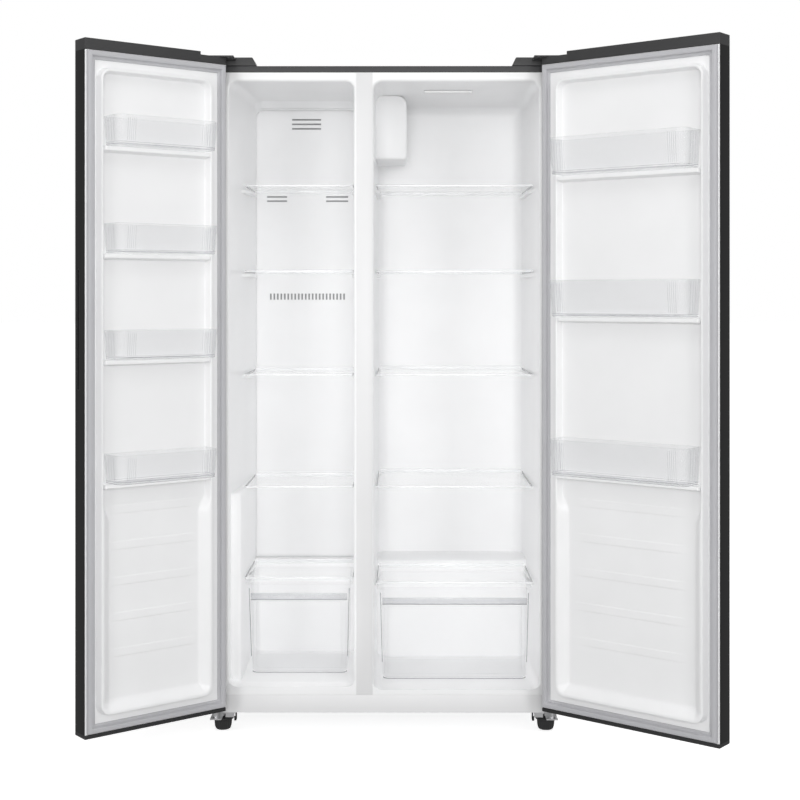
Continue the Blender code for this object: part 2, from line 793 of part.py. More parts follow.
# ---------------------------------------------------------------- doors
def make_door(prefix, width, side, bins, bin_h, grip):
    """All the pieces of one door, hung on an empty at its hinge axis.

    Local x runs from the hinge axis to the free edge for side = 1 (hinged on the left)
    and is mirrored for side = -1; local y grows towards the cabinet when shut.
    """
    axis = bpy.data.objects.new(f"{prefix}_door_axis", None)
    bpy.context.scene.collection.objects.link(axis)
    axis.location = (
        CAB_X - side * (HALF - PIVOT_IN), CAB_Y + PIVOT_Y, 0.0
    )
    axis.rotation_euler = (0.0, 0.0, -side * math.radians(OPEN_DEG))
    hung = {"at": (0.0, 0.0, 0.0), "parent": axis}
    inner = PIVOT_FWD

    def lx(u):
        return side * (u - PIVOT_IN)

    def span(u0, u1):
        return tuple(sorted((lx(u0), lx(u1))))

    def plan(u0, u1, y0, y1, r_front, z0, z1, name, material):
        points = round_rect(u0, u1, y0, y1, (r_front, r_front, 0.0015, 0.0015), 4)
        return prism(name, [(lx(a), b) for a, b in points], z0, z1, material, **hung)

    # outer skin: a folded sheet, front and both edges, returned on the inner face
    t, r, fold = 0.0010, 0.0045, 0.0125

    def corner(cu, cy, radius, start, turn):
        return [
            (
                cu + radius * math.cos(start + turn * s * math.pi / 8),
                cy + radius * math.sin(start + turn * s * math.pi / 8),
            )
            for s in range(5)
        ]

    out = DOOR_OUT
    path = [(fold, inner), (0.0, inner)]
    path += corner(r, out + r, r, math.pi, 1)
    path += corner(width - r, out + r, r, 1.5 * math.pi, 1)
    path += [(width, inner), (width - fold, inner)]
    path += [(width - fold, inner - t), (width - t, inner - t)]
    path += corner(width - r, out + r, r - t, 0.0, -1)
    path += corner(r, out + r, r - t, 1.5 * math.pi, -1)
    path += [(t, inner - t), (fold, inner - t)]
    skin = prism(
        f"{prefix}_door_skin",
        [(lx(a), b) for a, b in path],
        CAP_BOTTOM_Z + GAP,
        CAP_TOP_Z - GAP,
        "black_paint",
        **hung,
    )
    wall = 0.0014
    insert_z = (HANDLE_Z[0] - GRIP_ENDS, HANDLE_Z[1] + GRIP_ENDS)
    if grip:  # a moulded insert as thick as the door, with a slot for the fingers
        cut(skin, box(span(width - 0.02, width + 0.02), HANDLE_Y, HANDLE_Z, **hung))
        y0, y1 = HANDLE_Y[0] + GAP, HANDLE_Y[1] - GAP
        lip_z = (HANDLE_Z[0] + GAP, HANDLE_Z[1] - GAP)
        points = round_rect(
            width - GRIP_INSERT, width - t - GAP, DOOR_OUT + t + GAP, inner - 0.0020,
            (0.0005, r - t, 0.0005, 0.0005), 4,
        )
        insert = prism(
            f"{prefix}_door_grip", [(lx(a), b) for a, b in points], *insert_z,
            "black_plastic", **hung,
        )
        fuse(insert, box(span(width - 0.008, width), (y0, y1), lip_z, **hung))
        slot = (span(width - HANDLE_DEEP, width + 0.01), (y0 + wall, y1 - wall))
        cut(insert, box(*slot, (lip_z[0] + wall, lip_z[1] - wall), **hung))
    smooth(flatten(skin))

    # end caps
    top = plan(
        0.0, width, out, inner, r, CAP_TOP_Z, HEIGHT, f"{prefix}_door_top_cap", "grey_paint"
    )
    cut(
        top,
        box(span(-0.01, HINGE_STEP_W), (-0.1, 0.1), (HINGE_STEP_Z, 1.9), **hung),
        rod(0.0, 0.0, CAP_TOP_Z + 0.0018, 1.80, PIN_R + 0.00012, 24, **hung),
    )
    smooth(top)
    bottom = plan(
        0.0, width, out, inner, r, DOOR_BOTTOM, CAP_BOTTOM_Z,
        f"{prefix}_door_bottom_cap", "black_plastic",
    )
    cut(bottom, rod(0.0, 0.0, 0.05, CAP_BOTTOM_Z - 0.0015, PIN_R + 0.00012, 24, **hung))
    smooth(bottom)

    # inner liner: flat border, raised dike all round, flat middle
    sheet = 0.0014
    z0, z1 = CAP_BOTTOM_Z + 0.0006, CAP_TOP_Z - 0.0006
    foot, crest = inner + 0.003, inner + 0.024
    profile = (  # hinge margin, free margin, z low, z high, y, corner radius
        (0.0128, 0.0128, z0, z1, inner, 0.001),
        (0.0500, 0.0290, 0.127, 1.716, inner, 0.030),
        (0.0540, 0.0335, 0.131, 1.712, crest - 0.004, 0.028),
        (0.0565, 0.0355, 0.1335, 1.7095, crest, 0.026),
        (0.0600, 0.0385, 0.137, 1.706, crest, 0.024),
        (0.0640, 0.0440, 0.141, 1.702, foot, 0.020),
    )

    def ring(entry, drop, grow):
        hinge, free, low, high, y, radius = entry
        points = round_rect(
            hinge + grow, width - free - grow, low + grow, high - grow, radius, 4
        )
        return [(lx(a), y - drop, b) for a, b in points]

    grows = (0.0, 0.0013, 0.0013, 0.0008, -0.0010, -0.0013)
    front = [ring(e, 0.0, 0.0) for e in profile]
    back = [ring(e, sheet, g) for e, g in zip(profile, grows)]
    liner = loft(f"{prefix}_door_liner", back[::-1] + front, "liner_white", **hung)
    rails = []
    for z in bins:
        outline = [
            (inner + 0.0022, z - 0.0010),
            (inner + 0.034, z - 0.0010),
            (inner + 0.034, z - 0.0060),
            (inner + 0.0022, z - 0.0160),
        ]
        low, high = span(0.0633, width - 0.0433)
        rails.append(
            prism("helper", outline, low, high, "liner_white", "x", **hung)
        )
    fuse(liner, *rails)
    smooth(liner)

    # insulation between skin and liner
    edge, spread = 0.0013, (0.0, 0.0005, 0.0005, 0.0002, -0.0003, -0.0005)
    under = [
        ring(e, sheet + GAP + 0.0001, g + c) for e, g, c in zip(profile, grows, spread)
    ]

    def slab(y, m):
        points = round_rect(m, width - m, z0, z1, 0.0008, 4)
        return [(lx(a), y, b) for a, b in points]

    under[0] = slab(inner - sheet - GAP, edge + 0.0006)
    face = [slab(out + 0.0013, 0.0048), slab(out + 0.0042, edge)]
    core = loft(f"{prefix}_door_foam", face + under, "foam", **hung)
    if grip:
        reach = span(width - GRIP_INSERT - GAP, width + 0.01)
        cut(core, box(reach, (-0.1, 0.1), (insert_z[0] - GAP, insert_z[1] + GAP), **hung))
    flatten(core)

    # magnetic seal round the door, four mitred sides
    section = (
        (0.0000, 0.0003), (0.0000, 0.0050), (0.0030, 0.0105), (0.0120, 0.0105),
        (0.0145, 0.0060), (0.0215, 0.0040), (0.0225, 0.0003),
    )
    loops = []
    for margin, height in section:
        u0, u1 = 0.004 + margin, width - 0.004 - margin
        low, high = 0.0870 + margin, 1.7560 - margin
        loops.append(
            [(lx(a), inner + height, b) for a, b in ((u0, low), (u1, low), (u1, high), (u0, high))]
        )
    loft(f"{prefix}_door_gasket", loops, "seal_grey", closed=True, **hung)

    # bins standing on the liner's rails
    wall = 0.0022
    for n, z in enumerate(bins, 1):
        u0, u1 = 0.0665, width - 0.0465
        y0, y1 = inner + 0.0055, inner + BIN_REACH

        def tray(zz, m, depth_in, rf, y0=y0, y1=y1, u0=u0, u1=u1):
            points = round_rect(
                u0 + m, u1 - m, y0 + min(m, 0.003), y1 - depth_in, (0.002, 0.002, rf, rf), 2
            )
            return [(lx(a), b, zz) for a, b in points]

        rings = [
            tray(z + wall, 0.0050 + wall, 0.0080 + wall, 0.020),
            tray(z + bin_h, wall, wall, 0.022),
            tray(z + bin_h, 0.0, 0.0, 0.024),
            tray(z + 0.003, 0.0046, 0.0076, 0.021),
            tray(z, 0.0060, 0.0090, 0.020),
        ]
        smooth(loft(f"{prefix}_bin_{n}", rings, "clear_plastic", **hung))


make_door("freezer", FREEZER_DOOR_W, 1, FREEZER_BINS_Z, FREEZER_BIN_H, True)
make_door("fridge", FRIDGE_DOOR_W, -1, FRIDGE_BINS_Z, FRIDGE_BIN_H, False)
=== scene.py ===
"""Looks of the side-by-side refrigerator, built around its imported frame.

Cabinet pieces are made in cabinet coordinates: x = 0 in the middle of the cabinet, y = 0 on
the face that the doors close against, z = 0 on the floor.  Door pieces are made in door
coordinates: u = 0 on the hinge edge and growing to the free edge, y = 0 on the hinge axis and
growing towards the cabinet when the door is shut.  Metres throughout.
"""

import json
import math

import bmesh
import bpy
import numpy as np
from mathutils import Matrix, Vector


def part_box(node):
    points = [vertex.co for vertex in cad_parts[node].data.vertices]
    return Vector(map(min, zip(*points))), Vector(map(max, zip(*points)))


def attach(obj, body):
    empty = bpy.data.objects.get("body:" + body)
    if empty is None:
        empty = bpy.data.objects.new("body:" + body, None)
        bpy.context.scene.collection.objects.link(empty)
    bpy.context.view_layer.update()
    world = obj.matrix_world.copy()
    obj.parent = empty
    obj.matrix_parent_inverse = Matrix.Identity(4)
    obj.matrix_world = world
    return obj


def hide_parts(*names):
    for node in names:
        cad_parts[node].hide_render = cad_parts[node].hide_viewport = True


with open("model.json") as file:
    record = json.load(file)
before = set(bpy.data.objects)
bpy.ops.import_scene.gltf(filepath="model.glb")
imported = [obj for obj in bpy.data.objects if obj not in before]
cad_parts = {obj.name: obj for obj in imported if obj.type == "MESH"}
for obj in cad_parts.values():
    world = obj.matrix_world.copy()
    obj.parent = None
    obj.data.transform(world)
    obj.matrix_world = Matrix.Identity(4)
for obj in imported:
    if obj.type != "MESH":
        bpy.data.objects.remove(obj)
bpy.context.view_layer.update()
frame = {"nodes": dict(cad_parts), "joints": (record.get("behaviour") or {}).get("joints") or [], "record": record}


# ---------------------------------------------------------------- places, from the frame
SHELL_LO, SHELL_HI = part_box("cabinet_shell")
CAB = Matrix.Translation(((SHELL_LO.x + SHELL_HI.x) / 2, SHELL_LO.y, 0.0))
HALF = (SHELL_HI.x - SHELL_LO.x) / 2
DEPTH = SHELL_HI.y - SHELL_LO.y
CAB_BOTTOM, CAB_TOP = SHELL_LO.z, SHELL_HI.z
JOINTS = {joint["name"]: joint for joint in frame["joints"]}
SHEET = 0.0012  # steel wrap
LINER_T = 0.0016  # vacuum-formed liners


def local_box(node, matrix):
    """A CAD node's corners in the coordinates of matrix."""
    back = matrix.inverted()
    co = np.array([back @ v.co for v in frame["nodes"][node].data.vertices])
    return Vector(co.min(0)), Vector(co.max(0))


def cab_box(node):
    return local_box(node, CAB)


# ---------------------------------------------------------------- meshes
def round_rect(a0, a1, b0, b1, radii, seg=6):
    """Points of a rounded rectangle, anticlockwise from the (a0, b0) corner."""
    if not isinstance(radii, (tuple, list)):
        radii = (radii,) * 4
    corners = ((a0, b0, 1, 1), (a1, b0, -1, 1), (a1, b1, -1, -1), (a0, b1, 1, -1))
    points = []
    for n, ((a, b, sa, sb), r) in enumerate(zip(corners, radii)):
        for s in range(seg + 1):
            t = math.pi + (n + s / seg) * math.pi / 2
            points.append((a + sa * r + r * math.cos(t), b + sb * r + r * math.sin(t)))
    return points


def loft(rings, closed=False):
    """Skins rings of points with equal counts; the two ends are capped unless closed."""
    count = len(rings[0])
    verts = [tuple(p) for ring in rings for p in ring]
    faces = []
    for n in range(len(rings) if closed else len(rings) - 1):
        a, b = n * count, (n + 1) % len(rings) * count
        for i in range(count):
            j = (i + 1) % count
            faces.append((a + i, a + j, b + j, b + i))
    if not closed:
        last = len(verts) - count
        faces += [tuple(range(count)), tuple(range(last, last + count))]
    return verts, faces


def join(*parts):
    verts, faces = [], []
    for part_verts, part_faces in parts:
        base = len(verts)
        verts += part_verts
        faces += [tuple(base + i for i in face) for face in part_faces]
    return verts, faces


def soft_box(x, y, z, r=0.001, seg=3):
    """A box with every edge rounded to r."""
    x, y, z = sorted(x), sorted(y), sorted(z)
    rings = []
    steps = [s / seg * math.pi / 2 for s in range(seg + 1)]
    for z_end, sign in ((z[0], 1), (z[1], -1)):
        for t in steps if sign > 0 else steps[::-1]:
            inset, lift = r * (1 - math.sin(t)), r * (1 - math.cos(t))
            plan = round_rect(
                x[0] + inset, x[1] - inset, y[0] + inset, y[1] - inset,
                max(r - inset, 0.0001), seg,
            )
            rings.append([(a, b, z_end + sign * lift) for a, b in plan])
    return loft(rings)


def prism(outline, low, high, axis="z"):
    """A flat outline, in the two axes other than axis, extruded from low to high."""
    order = {
        "x": lambda a, b, c: (c, a, b),
        "y": lambda a, b, c: (a, c, b),
        "z": lambda a, b, c: (a, b, c),
    }[axis]
    return loft([[order(a, b, c) for a, b in outline] for c in (low, high)])


def turned(profile, centre, axis="z", sides=32, wave=0.0, waves=0):
    """A profile of (radius, height) turned about an axis, with an optional fluted edge."""
    order = {
        "x": lambda a, b, c: (c, a, b),
        "y": lambda a, b, c: (a, c, b),
        "z": lambda a, b, c: (a, b, c),
    }[axis]
    rings = []
    for r, h in profile:
        ring = []
        for s in range(sides):
            t = 2 * math.pi * s / sides
            flute = r * (1 - wave * (0.5 + 0.5 * math.cos(waves * t)))
            p = order(flute * math.cos(t), flute * math.sin(t), h)
            ring.append(tuple(p[k] + centre[k] for k in range(3)))
        rings.append(ring)
    return loft(rings)


def moved(part, change):
    """A part with change(x, y, z) applied to every point."""
    verts, faces = part
    return [tuple(change(*v)) for v in verts], faces


def mesh_object(name, part, matrix, angle=35):
    mesh = bpy.data.meshes.new(name)
    mesh.from_pydata(part[0], [], part[1])
    bm = bmesh.new()
    bm.from_mesh(mesh)
    bmesh.ops.remove_doubles(bm, verts=bm.verts, dist=0.000002)
    bmesh.ops.recalc_face_normals(bm, faces=bm.faces)
    bm.to_mesh(mesh)
    bm.free()
    obj = bpy.data.objects.new(name, mesh)
    bpy.context.scene.collection.objects.link(obj)
    obj.matrix_world = matrix
    mesh.shade_smooth()
    mesh.set_sharp_from_angle(angle=math.radians(angle))
    return obj


def piece(name, part, slot, body="cabinet", matrix=CAB, nodes=(), angle=35, look=None):
    """A finished piece: its mesh, material, body and the CAD nodes that it stands for; the slot names the material
    when no look is given.
    """
    obj = mesh_object(name, part, matrix, angle)
    obj.data.materials.append(material(look or slot))
    obj.visible_shadow = obj.visible_diffuse = (look or slot) not in CLEAR
    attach(obj, body)
    if nodes:
        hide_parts(*nodes)
    return obj


def cut(obj, part, matrix):
    """Takes a shape out of a piece."""
    cutter = mesh_object("cutter", part, matrix)
    boolean = obj.modifiers.new("cut", "BOOLEAN")
    boolean.operation = "DIFFERENCE"
    boolean.solver = "EXACT"
    boolean.object = cutter
    graph = bpy.context.evaluated_depsgraph_get()
    mesh = bpy.data.meshes.new_from_object(obj.evaluated_get(graph))
    obj.modifiers.clear()
    obj.data = mesh
    bpy.data.objects.remove(cutter, do_unlink=True)
    mesh.set_sharp_from_angle(angle=math.radians(35))
    return obj


def soften(node, width, look=None, segments=3):
    """Keeps a CAD node and gives it rounded edges and its material."""
    obj = frame["nodes"][node]
    weld = obj.modifiers.new("weld", "WELD")
    weld.merge_threshold = 0.00001
    if width:
        bevel = obj.modifiers.new("bevel", "BEVEL")
        bevel.width = width
        bevel.segments = segments
        bevel.limit_method = "ANGLE"
        bevel.angle_limit = math.radians(40)
        bevel.harden_normals = False
    obj.data.materials.clear()
    obj.data.materials.append(material(look or SLOT_OF[node]))
    return obj


# ---------------------------------------------------------------- materials
SLOT_OF = {part["node"]: part["material_slot"] for part in frame["record"]["subparts"]}

FINISHES = {  # colour, metallic, roughness, its spread, grain size (1/m), bump, coat
    "black_paint": ((0.0060, 0.0060, 0.0063), 0.0, 0.42, 0.05, 1500.0, 0.04, 0.0),
    "grey_paint": ((0.045, 0.045, 0.047), 0.0, 0.45, 0.05, 1500.0, 0.04, 0.0),
    "dark_cap": ((0.038, 0.038, 0.039), 0.0, 0.50, 0.08, 1100.0, 0.12, 0.0),
    "compressor_black": ((0.016, 0.016, 0.017), 0.0, 0.40, 0.08, 300.0, 0.10, 0.1),
    "white_paint": ((0.83, 0.83, 0.835), 0.0, 0.36, 0.04, 900.0, 0.03, 0.0),
    "liner_white": ((0.905, 0.907, 0.912), 0.0, 0.30, 0.05, 260.0, 0.035, 0.0),
    "cover_white": ((0.89, 0.892, 0.897), 0.0, 0.33, 0.05, 420.0, 0.035, 0.0),
    "seal_grey": ((0.50, 0.50, 0.52), 0.0, 0.55, 0.08, 700.0, 0.10, 0.0),
    "black_plastic": ((0.020, 0.020, 0.021), 0.0, 0.48, 0.08, 1300.0, 0.16, 0.0),
    "dark_plastic": ((0.060, 0.060, 0.064), 0.0, 0.52, 0.08, 1300.0, 0.16, 0.0),
    "zinc_steel": ((0.60, 0.60, 0.61), 1.0, 0.34, 0.12, 240.0, 0.05, 0.0),
    "galvanised": ((0.46, 0.47, 0.48), 0.85, 0.46, 0.12, 120.0, 0.03, 0.0),
    "aluminium": ((0.74, 0.75, 0.76), 1.0, 0.36, 0.10, 500.0, 0.05, 0.0),
    "foam": ((0.80, 0.74, 0.55), 0.0, 0.90, 0.05, 400.0, 0.40, 0.0),
    # painted shade: this grey, seen through the duct cover's slots, stands in for the shadow inside them
    "slot_shade_grey": ((0.42, 0.42, 0.43), 0.0, 0.55, 0.05, 500.0, 0.05, 0.0),
    "front_white": ((0.78, 0.78, 0.785), 0.0, 0.36, 0.04, 900.0, 0.03, 0.0),
    "lamp_white": ((0.90, 0.90, 0.90), 0.0, 0.42, 0.04, 800.0, 0.05, 0.0),
}
CLEAR = {  # colour, roughness, opacity seen face on, opacity at a grazing angle
    "clear_glass": ((0.86, 0.88, 0.88), 0.04, 0.015, 0.10),
    "clear_plastic": ((0.78, 0.79, 0.81), 0.10, 0.018, 0.20),
    "clear_bin": ((0.60, 0.61, 0.63), 0.10, 0.075, 0.40),
    "clear_trim": ((0.90, 0.91, 0.92), 0.12, 0.45, 0.75),
    # painted shade: a dark, half-opaque clear finish that draws the refraction lines along glass edges, the
    # drawer's roll and its bends
    "clear_edge_shade": ((0.24, 0.25, 0.26), 0.12, 0.55, 0.70),
    # painted shade: a grey half-opaque clear finish for the drawer's pull and the bins' bottom bands, standing in
    # for their refraction lines
    "clear_line_shade": ((0.50, 0.51, 0.53), 0.12, 0.34, 0.60),
}


def add_node(tree, kind, place, **values):
    node = tree.nodes.new(kind)
    node.location = place
    for name, value in values.items():
        node.inputs[name.replace("_", " ")].default_value = value
    return node


def material(name):
    """A finish by name, made once: fine grain in its colour, roughness and bump."""
    made = bpy.data.materials.get("look_" + name)
    if made:
        return made
    made = bpy.data.materials.new("look_" + name)
    made.use_nodes = True
    tree = made.node_tree
    shader = tree.nodes["Principled BSDF"]
    if name in CLEAR:
        colour, rough, face_on, grazing = CLEAR[name]
        metal, spread, grain, bump, coat = 0.0, 0.03, 90.0, 0.03, 0.0
        shader.inputs["IOR"].default_value = 1.5
        facing = add_node(tree, "ShaderNodeLayerWeight", (-850, -500), Blend=0.35)
        opacity = add_node(tree, "ShaderNodeMapRange", (-550, -500))
        opacity.inputs["To Min"].default_value = face_on
        opacity.inputs["To Max"].default_value = grazing
        tree.links.new(facing.outputs["Facing"], opacity.inputs["Value"])
        tree.links.new(opacity.outputs["Result"], shader.inputs["Alpha"])
    else:
        colour, metal, rough, spread, grain, bump, coat = FINISHES[name]
    shader.inputs["Metallic"].default_value = metal
    shader.inputs["Coat Weight"].default_value = coat
    shader.inputs["Coat Roughness"].default_value = 0.12

    where = add_node(tree, "ShaderNodeTexCoord", (-1100, 0))
    broad = add_node(tree, "ShaderNodeTexNoise", (-850, 200), Scale=7.0, Detail=2.0)
    fine = add_node(tree, "ShaderNodeTexNoise", (-850, -150), Scale=grain, Detail=3.0)
    for noise in (broad, fine):
        tree.links.new(where.outputs["Object"], noise.inputs["Vector"])
    tint = tree.nodes.new("ShaderNodeValToRGB")
    tint.location = (-550, 200)
    shade = 0.965 if max(colour) > 0.2 else 0.86
    tint.color_ramp.elements[0].color = (*(shade * c for c in colour), 1.0)
    tint.color_ramp.elements[1].color = (*(min(c * (2 - shade), 1.0) for c in colour), 1.0)
    tree.links.new(broad.outputs["Fac"], tint.inputs["Fac"])
    tree.links.new(tint.outputs["Color"], shader.inputs["Base Color"])
    gloss = add_node(tree, "ShaderNodeMapRange", (-550, -100))
    gloss.inputs["To Min"].default_value = rough - spread
    gloss.inputs["To Max"].default_value = rough + spread
    tree.links.new(fine.outputs["Fac"], gloss.inputs["Value"])
    tree.links.new(gloss.outputs["Result"], shader.inputs["Roughness"])
    relief = add_node(tree, "ShaderNodeBump", (-300, -300), Strength=bump, Distance=0.0004)
    tree.links.new(fine.outputs["Fac"], relief.inputs["Height"])
    tree.links.new(relief.outputs["Normal"], shader.inputs["Normal"])
    if name == "black_paint":
        shader.inputs["Specular IOR Level"].default_value = 0.20
    if name == "galvanised":
        spangle(tree, where, colour, shader)
    return made


def spangle(tree, where, colour, shader):
    """Zinc crystals: flat patches of slightly different grey."""
    cells = add_node(tree, "ShaderNodeTexVoronoi", (-850, 450), Scale=85.0)
    tree.links.new(where.outputs["Object"], cells.inputs["Vector"])
    ramp = tree.nodes.new("ShaderNodeValToRGB")
    ramp.location = (-550, 450)
    ramp.color_ramp.elements[0].color = (*(0.84 * c for c in colour), 1.0)
    ramp.color_ramp.elements[1].color = (*(1.14 * c for c in colour), 1.0)
    split = tree.nodes.new("ShaderNodeSeparateColor")
    split.location = (-700, 600)
    tree.links.new(cells.outputs["Color"], split.inputs["Color"])
    tree.links.new(split.outputs["Red"], ramp.inputs["Fac"])
    tree.links.new(ramp.outputs["Color"], shader.inputs["Base Color"])


# ---------------------------------------------------------------- cabinet shell and front
LIP = 0.017


def wrap_path(inset, seg=6):
    """The steel wrap seen from the front: up one side, over the top, down the other."""
    r = max(0.004 - inset, 0.0004)
    right, top = HALF - inset, CAB_TOP - inset
    points = [(-right, CAB_BOTTOM)]
    for s in range(seg + 1):
        t = math.pi - s / seg * math.pi / 2
        points.append((-right + r + r * math.cos(t), top - r + r * math.sin(t)))
    for s in range(seg + 1):
        t = math.pi / 2 - s / seg * math.pi / 2
        points.append((right - r + r * math.cos(t), top - r + r * math.sin(t)))
    points.append((right, CAB_BOTTOM))
    return points


def cabinet_shell():
    fold = 0.0018
    section = [(0.0, DEPTH)]
    for s in range(5):
        t = s / 4 * math.pi / 2
        section.append((fold * (1 - math.cos(t)), fold * (1 - math.sin(t))))
    section += [(LIP, 0.0), (LIP, SHEET), (SHEET, SHEET + 0.0006), (SHEET, DEPTH)]
    loops = [[(a, y, b) for a, b in wrap_path(inset)] for inset, y in section]
    count = len(loops[0])
    verts = [p for loop in loops for p in loop]
    faces = []
    for n in range(len(loops)):
        a, b = n * count, (n + 1) % len(loops) * count
        faces += [(a + i, a + i + 1, b + i + 1, b + i) for i in range(count - 1)]
    for end in (0, count - 1):
        faces.append(tuple(n * count + end for n in range(len(loops))))
    piece("cabinet_wrap", (verts, faces), "grey_paint", nodes=("cabinet_shell",))


def front_trim():
    lo, hi = cab_box("mullion_cover")
    piece(
        "mullion_front",
        soft_box((lo.x - 0.0012, hi.x + 0.0014), (lo.y - 0.0007, lo.y - 0.0001), (lo.z, hi.z), 0.00025),
        "white_paint", nodes=("mullion_cover",), look="front_white",
    )
    lo, hi = cab_box("kick_plate")
    lips = HALF - LIP - 0.0004
    face = soft_box((-lips, lips), (0.0002, 0.0016), (lo.z, hi.z), 0.0006)
    foot = soft_box((-lips, lips), (0.0004, 0.012), (lo.z, lo.z + 0.0012), 0.0005)
    piece("kick_panel", join(face, foot), "white_paint", nodes=("kick_plate",))


# ---------------------------------------------------------------- compartment liners
FREEZER_ROOM = (  # y, x0, x1, z0, z1 of the inner surface
    (0.008, -0.4085, -0.0805, 0.1205, 1.7220),
    (0.026, -0.4071, -0.0806, 0.1288, 1.7219),
    (0.034, -0.4065, -0.0807, 0.1300, 1.7218),
    (0.352, -0.3811, -0.0829, 0.1300, 1.7200),
    (0.358, -0.3807, -0.0830, 0.1300, 1.7192),
    (0.376, -0.3802, -0.0831, 0.1300, 1.7016),
    (0.410, -0.3800, -0.0832, 0.1300, 1.7000),
)
FRIDGE_ROOM = (
    (0.008, -0.0275, 0.4085, 0.1138, 1.7220),
    (0.030, -0.0274, 0.4082, 0.1160, 1.7217),
    (0.456, -0.0256, 0.4035, 0.1160, 1.7180),
)
BACK_Y = 0.500
CORNER_R = 0.022
HUMP_Y, HUMP_Z = 0.360, 0.394
ROOM_Z = 0.352  # top of the machine room behind the hump
BULGE_X, BULGE_TOP = -0.3815, 0.632
MOUTH_R = 0.0075
SILL = 0.40  # the bottom edge of the mouth rises by this part of the flare
GLASS_TOP = 0.0062  # top of the glass over the underside of its frame


def room_rings(room, back_r, grow):
    """The inside of a compartment with a rounded mouth and a rounded back edge."""
    rings = []
    mouth = room[0][1:]

    def ring(y, x0, x1, z0, z1, spread, low=None):
        low = spread if low is None else low
        plan = round_rect(
            x0 - spread, x1 + spread, z0 - low, z1 + spread, CORNER_R + max(spread, -0.006), 8
        )
        return [(a, y, b) for a, b in plan]

    for s in range(7):
        t = s / 6 * math.pi / 2
        flare = MOUTH_R * (1 - math.sin(t))
        y = MOUTH_R * (1 - math.cos(t)) + grow * math.cos(t)
        rings.append(ring(y, *mouth, flare + grow, grow - SILL * flare))
    for y, *sides in room[1:]:
        rings.append(ring(y, *sides, grow))
    for s in range(1, 9):
        t = s / 8 * math.pi / 2
        y = BACK_Y - back_r + (back_r + grow) * math.sin(t)
        rings.append(ring(y, *room[-1][1:], -back_r + (back_r + grow) * math.cos(t)))
    return rings


def rib(wall, inner, y, z):
    """A ledge on a side wall; its front end grows out of the wall."""
    start, full = y[0], y[0] + 0.11

    def grow(a, b, c):
        return wall + (a - wall) * min(1.0, max(0.0, (b - start) / (full - start))), b, c

    steps = [start + 0.0220 * n for n in range(6)] + [y[1]]
    rings = []
    for b in steps:
        plan = round_rect(min(wall, inner), max(wall, inner), *z, 0.0022, 3)
        rings.append([grow(a, b, c) for a, c in plan])
    return loft(rings)


def side_ledges(word, left_wall, right_wall, shelf_x, shelf_back, skip_low_left):
    """Moulded ledges that the shelves, the cover and the drawer's rim lie on."""
    parts = []
    spans = []
    for n in range(1, 5):
        glass = cab_box(f"fridge_shelf_{n}")[0].z + GLASS_TOP
        spans.append((glass - 0.0165, glass - 0.0068, shelf_back - 0.020, 0.008, n == 4))
    cover_low, cover_high = cab_box(f"{word}_drawer_cover")
    cover, back = cover_low.z + GLASS_TOP, cover_high.y - 0.012
    spans += [(cover - 0.0115, cover - 0.0068, back, 0.006, False)]
    spans += [(cover - 0.0300, cover - 0.0195, back, 0.006, False)]
    for low, high, y1, inner, lowest in spans:
        if not (skip_low_left and lowest):
            parts.append(rib(left_wall, shelf_x[0] + inner, (0.130, y1), (low, high)))
        parts.append(rib(right_wall, shelf_x[1] - inner, (0.130, y1), (low, high)))
    return parts


def hump(x0, x1):
    """The step at the foot of the back wall, in front of the machine room, as a sheet."""
    points = []
    for r in (0.016, 0.016 - LINER_T):
        bend = [(HUMP_Y + 0.016 - r, 0.112)]
        for s in range(7):
            t = math.pi - s / 6 * math.pi / 2
            bend.append((HUMP_Y + 0.016 + r * math.cos(t), HUMP_Z - 0.016 + r * math.sin(t)))
        bend.append((BACK_Y + 0.001, HUMP_Z - 0.016 + r))
        points += bend if not points else bend[::-1]
    return prism(points, x0 - 0.001, x1 + 0.001, "x")


def bulge():
    """Thicker lower left wall of the freezer, with a rounded front edge and top."""
    rings = []
    for z, inset in ((0.112, 0.0), (BULGE_TOP - 0.012, 0.0), (BULGE_TOP - 0.0072, 0.0009),
                     (BULGE_TOP - 0.0030, 0.0036), (BULGE_TOP - 0.0008, 0.0072),
                     (BULGE_TOP, 0.0120)):
        front, corner, r = 0.030 + inset, BULGE_X - inset, 0.013
        points = [(-0.420, 0.420), (-0.420, front)]
        for s in range(9):
            t = -math.pi / 2 + s / 8 * math.pi / 2
            points.append((corner - r + r * math.cos(t), front + r + r * math.sin(t)))
        points.append((corner, 0.420))
        rings.append([(a, b, z) for a, b in points])
    return loft(rings)


def make_liner(word, room, back_r, extras):
    lo, hi = cab_box(f"{word}_liner")
    inner = room_rings(room, back_r, 0.0)
    outer = room_rings(room, back_r, LINER_T)
    border = [
        [(a, y, b) for a, b in round_rect(lo.x, hi.x, lo.z, hi.z, 0.002, 8)]
        for y in (0.0, LINER_T)
    ]
    tub = loft(inner[::-1] + border + outer)
    piece(f"{word}_tub", join(tub, *extras), "liner_white", nodes=(f"{word}_liner",))


def liners():
    for word, room, back_r, wall in (
        ("freezer", FREEZER_ROOM, 0.006, (-0.4100, -0.0810)),
        ("fridge", FRIDGE_ROOM, 0.030, (-0.0280, 0.4090)),
    ):
        lo, hi = cab_box(f"{word}_shelf_1")
        ledges = side_ledges(word, *wall, (lo.x, hi.x), hi.y, word == "freezer")
        extras = ledges + [hump(room[-1][1], room[-1][2])]
        if word == "freezer":
            extras.append(bulge())
        make_liner(word, room, back_r, extras)


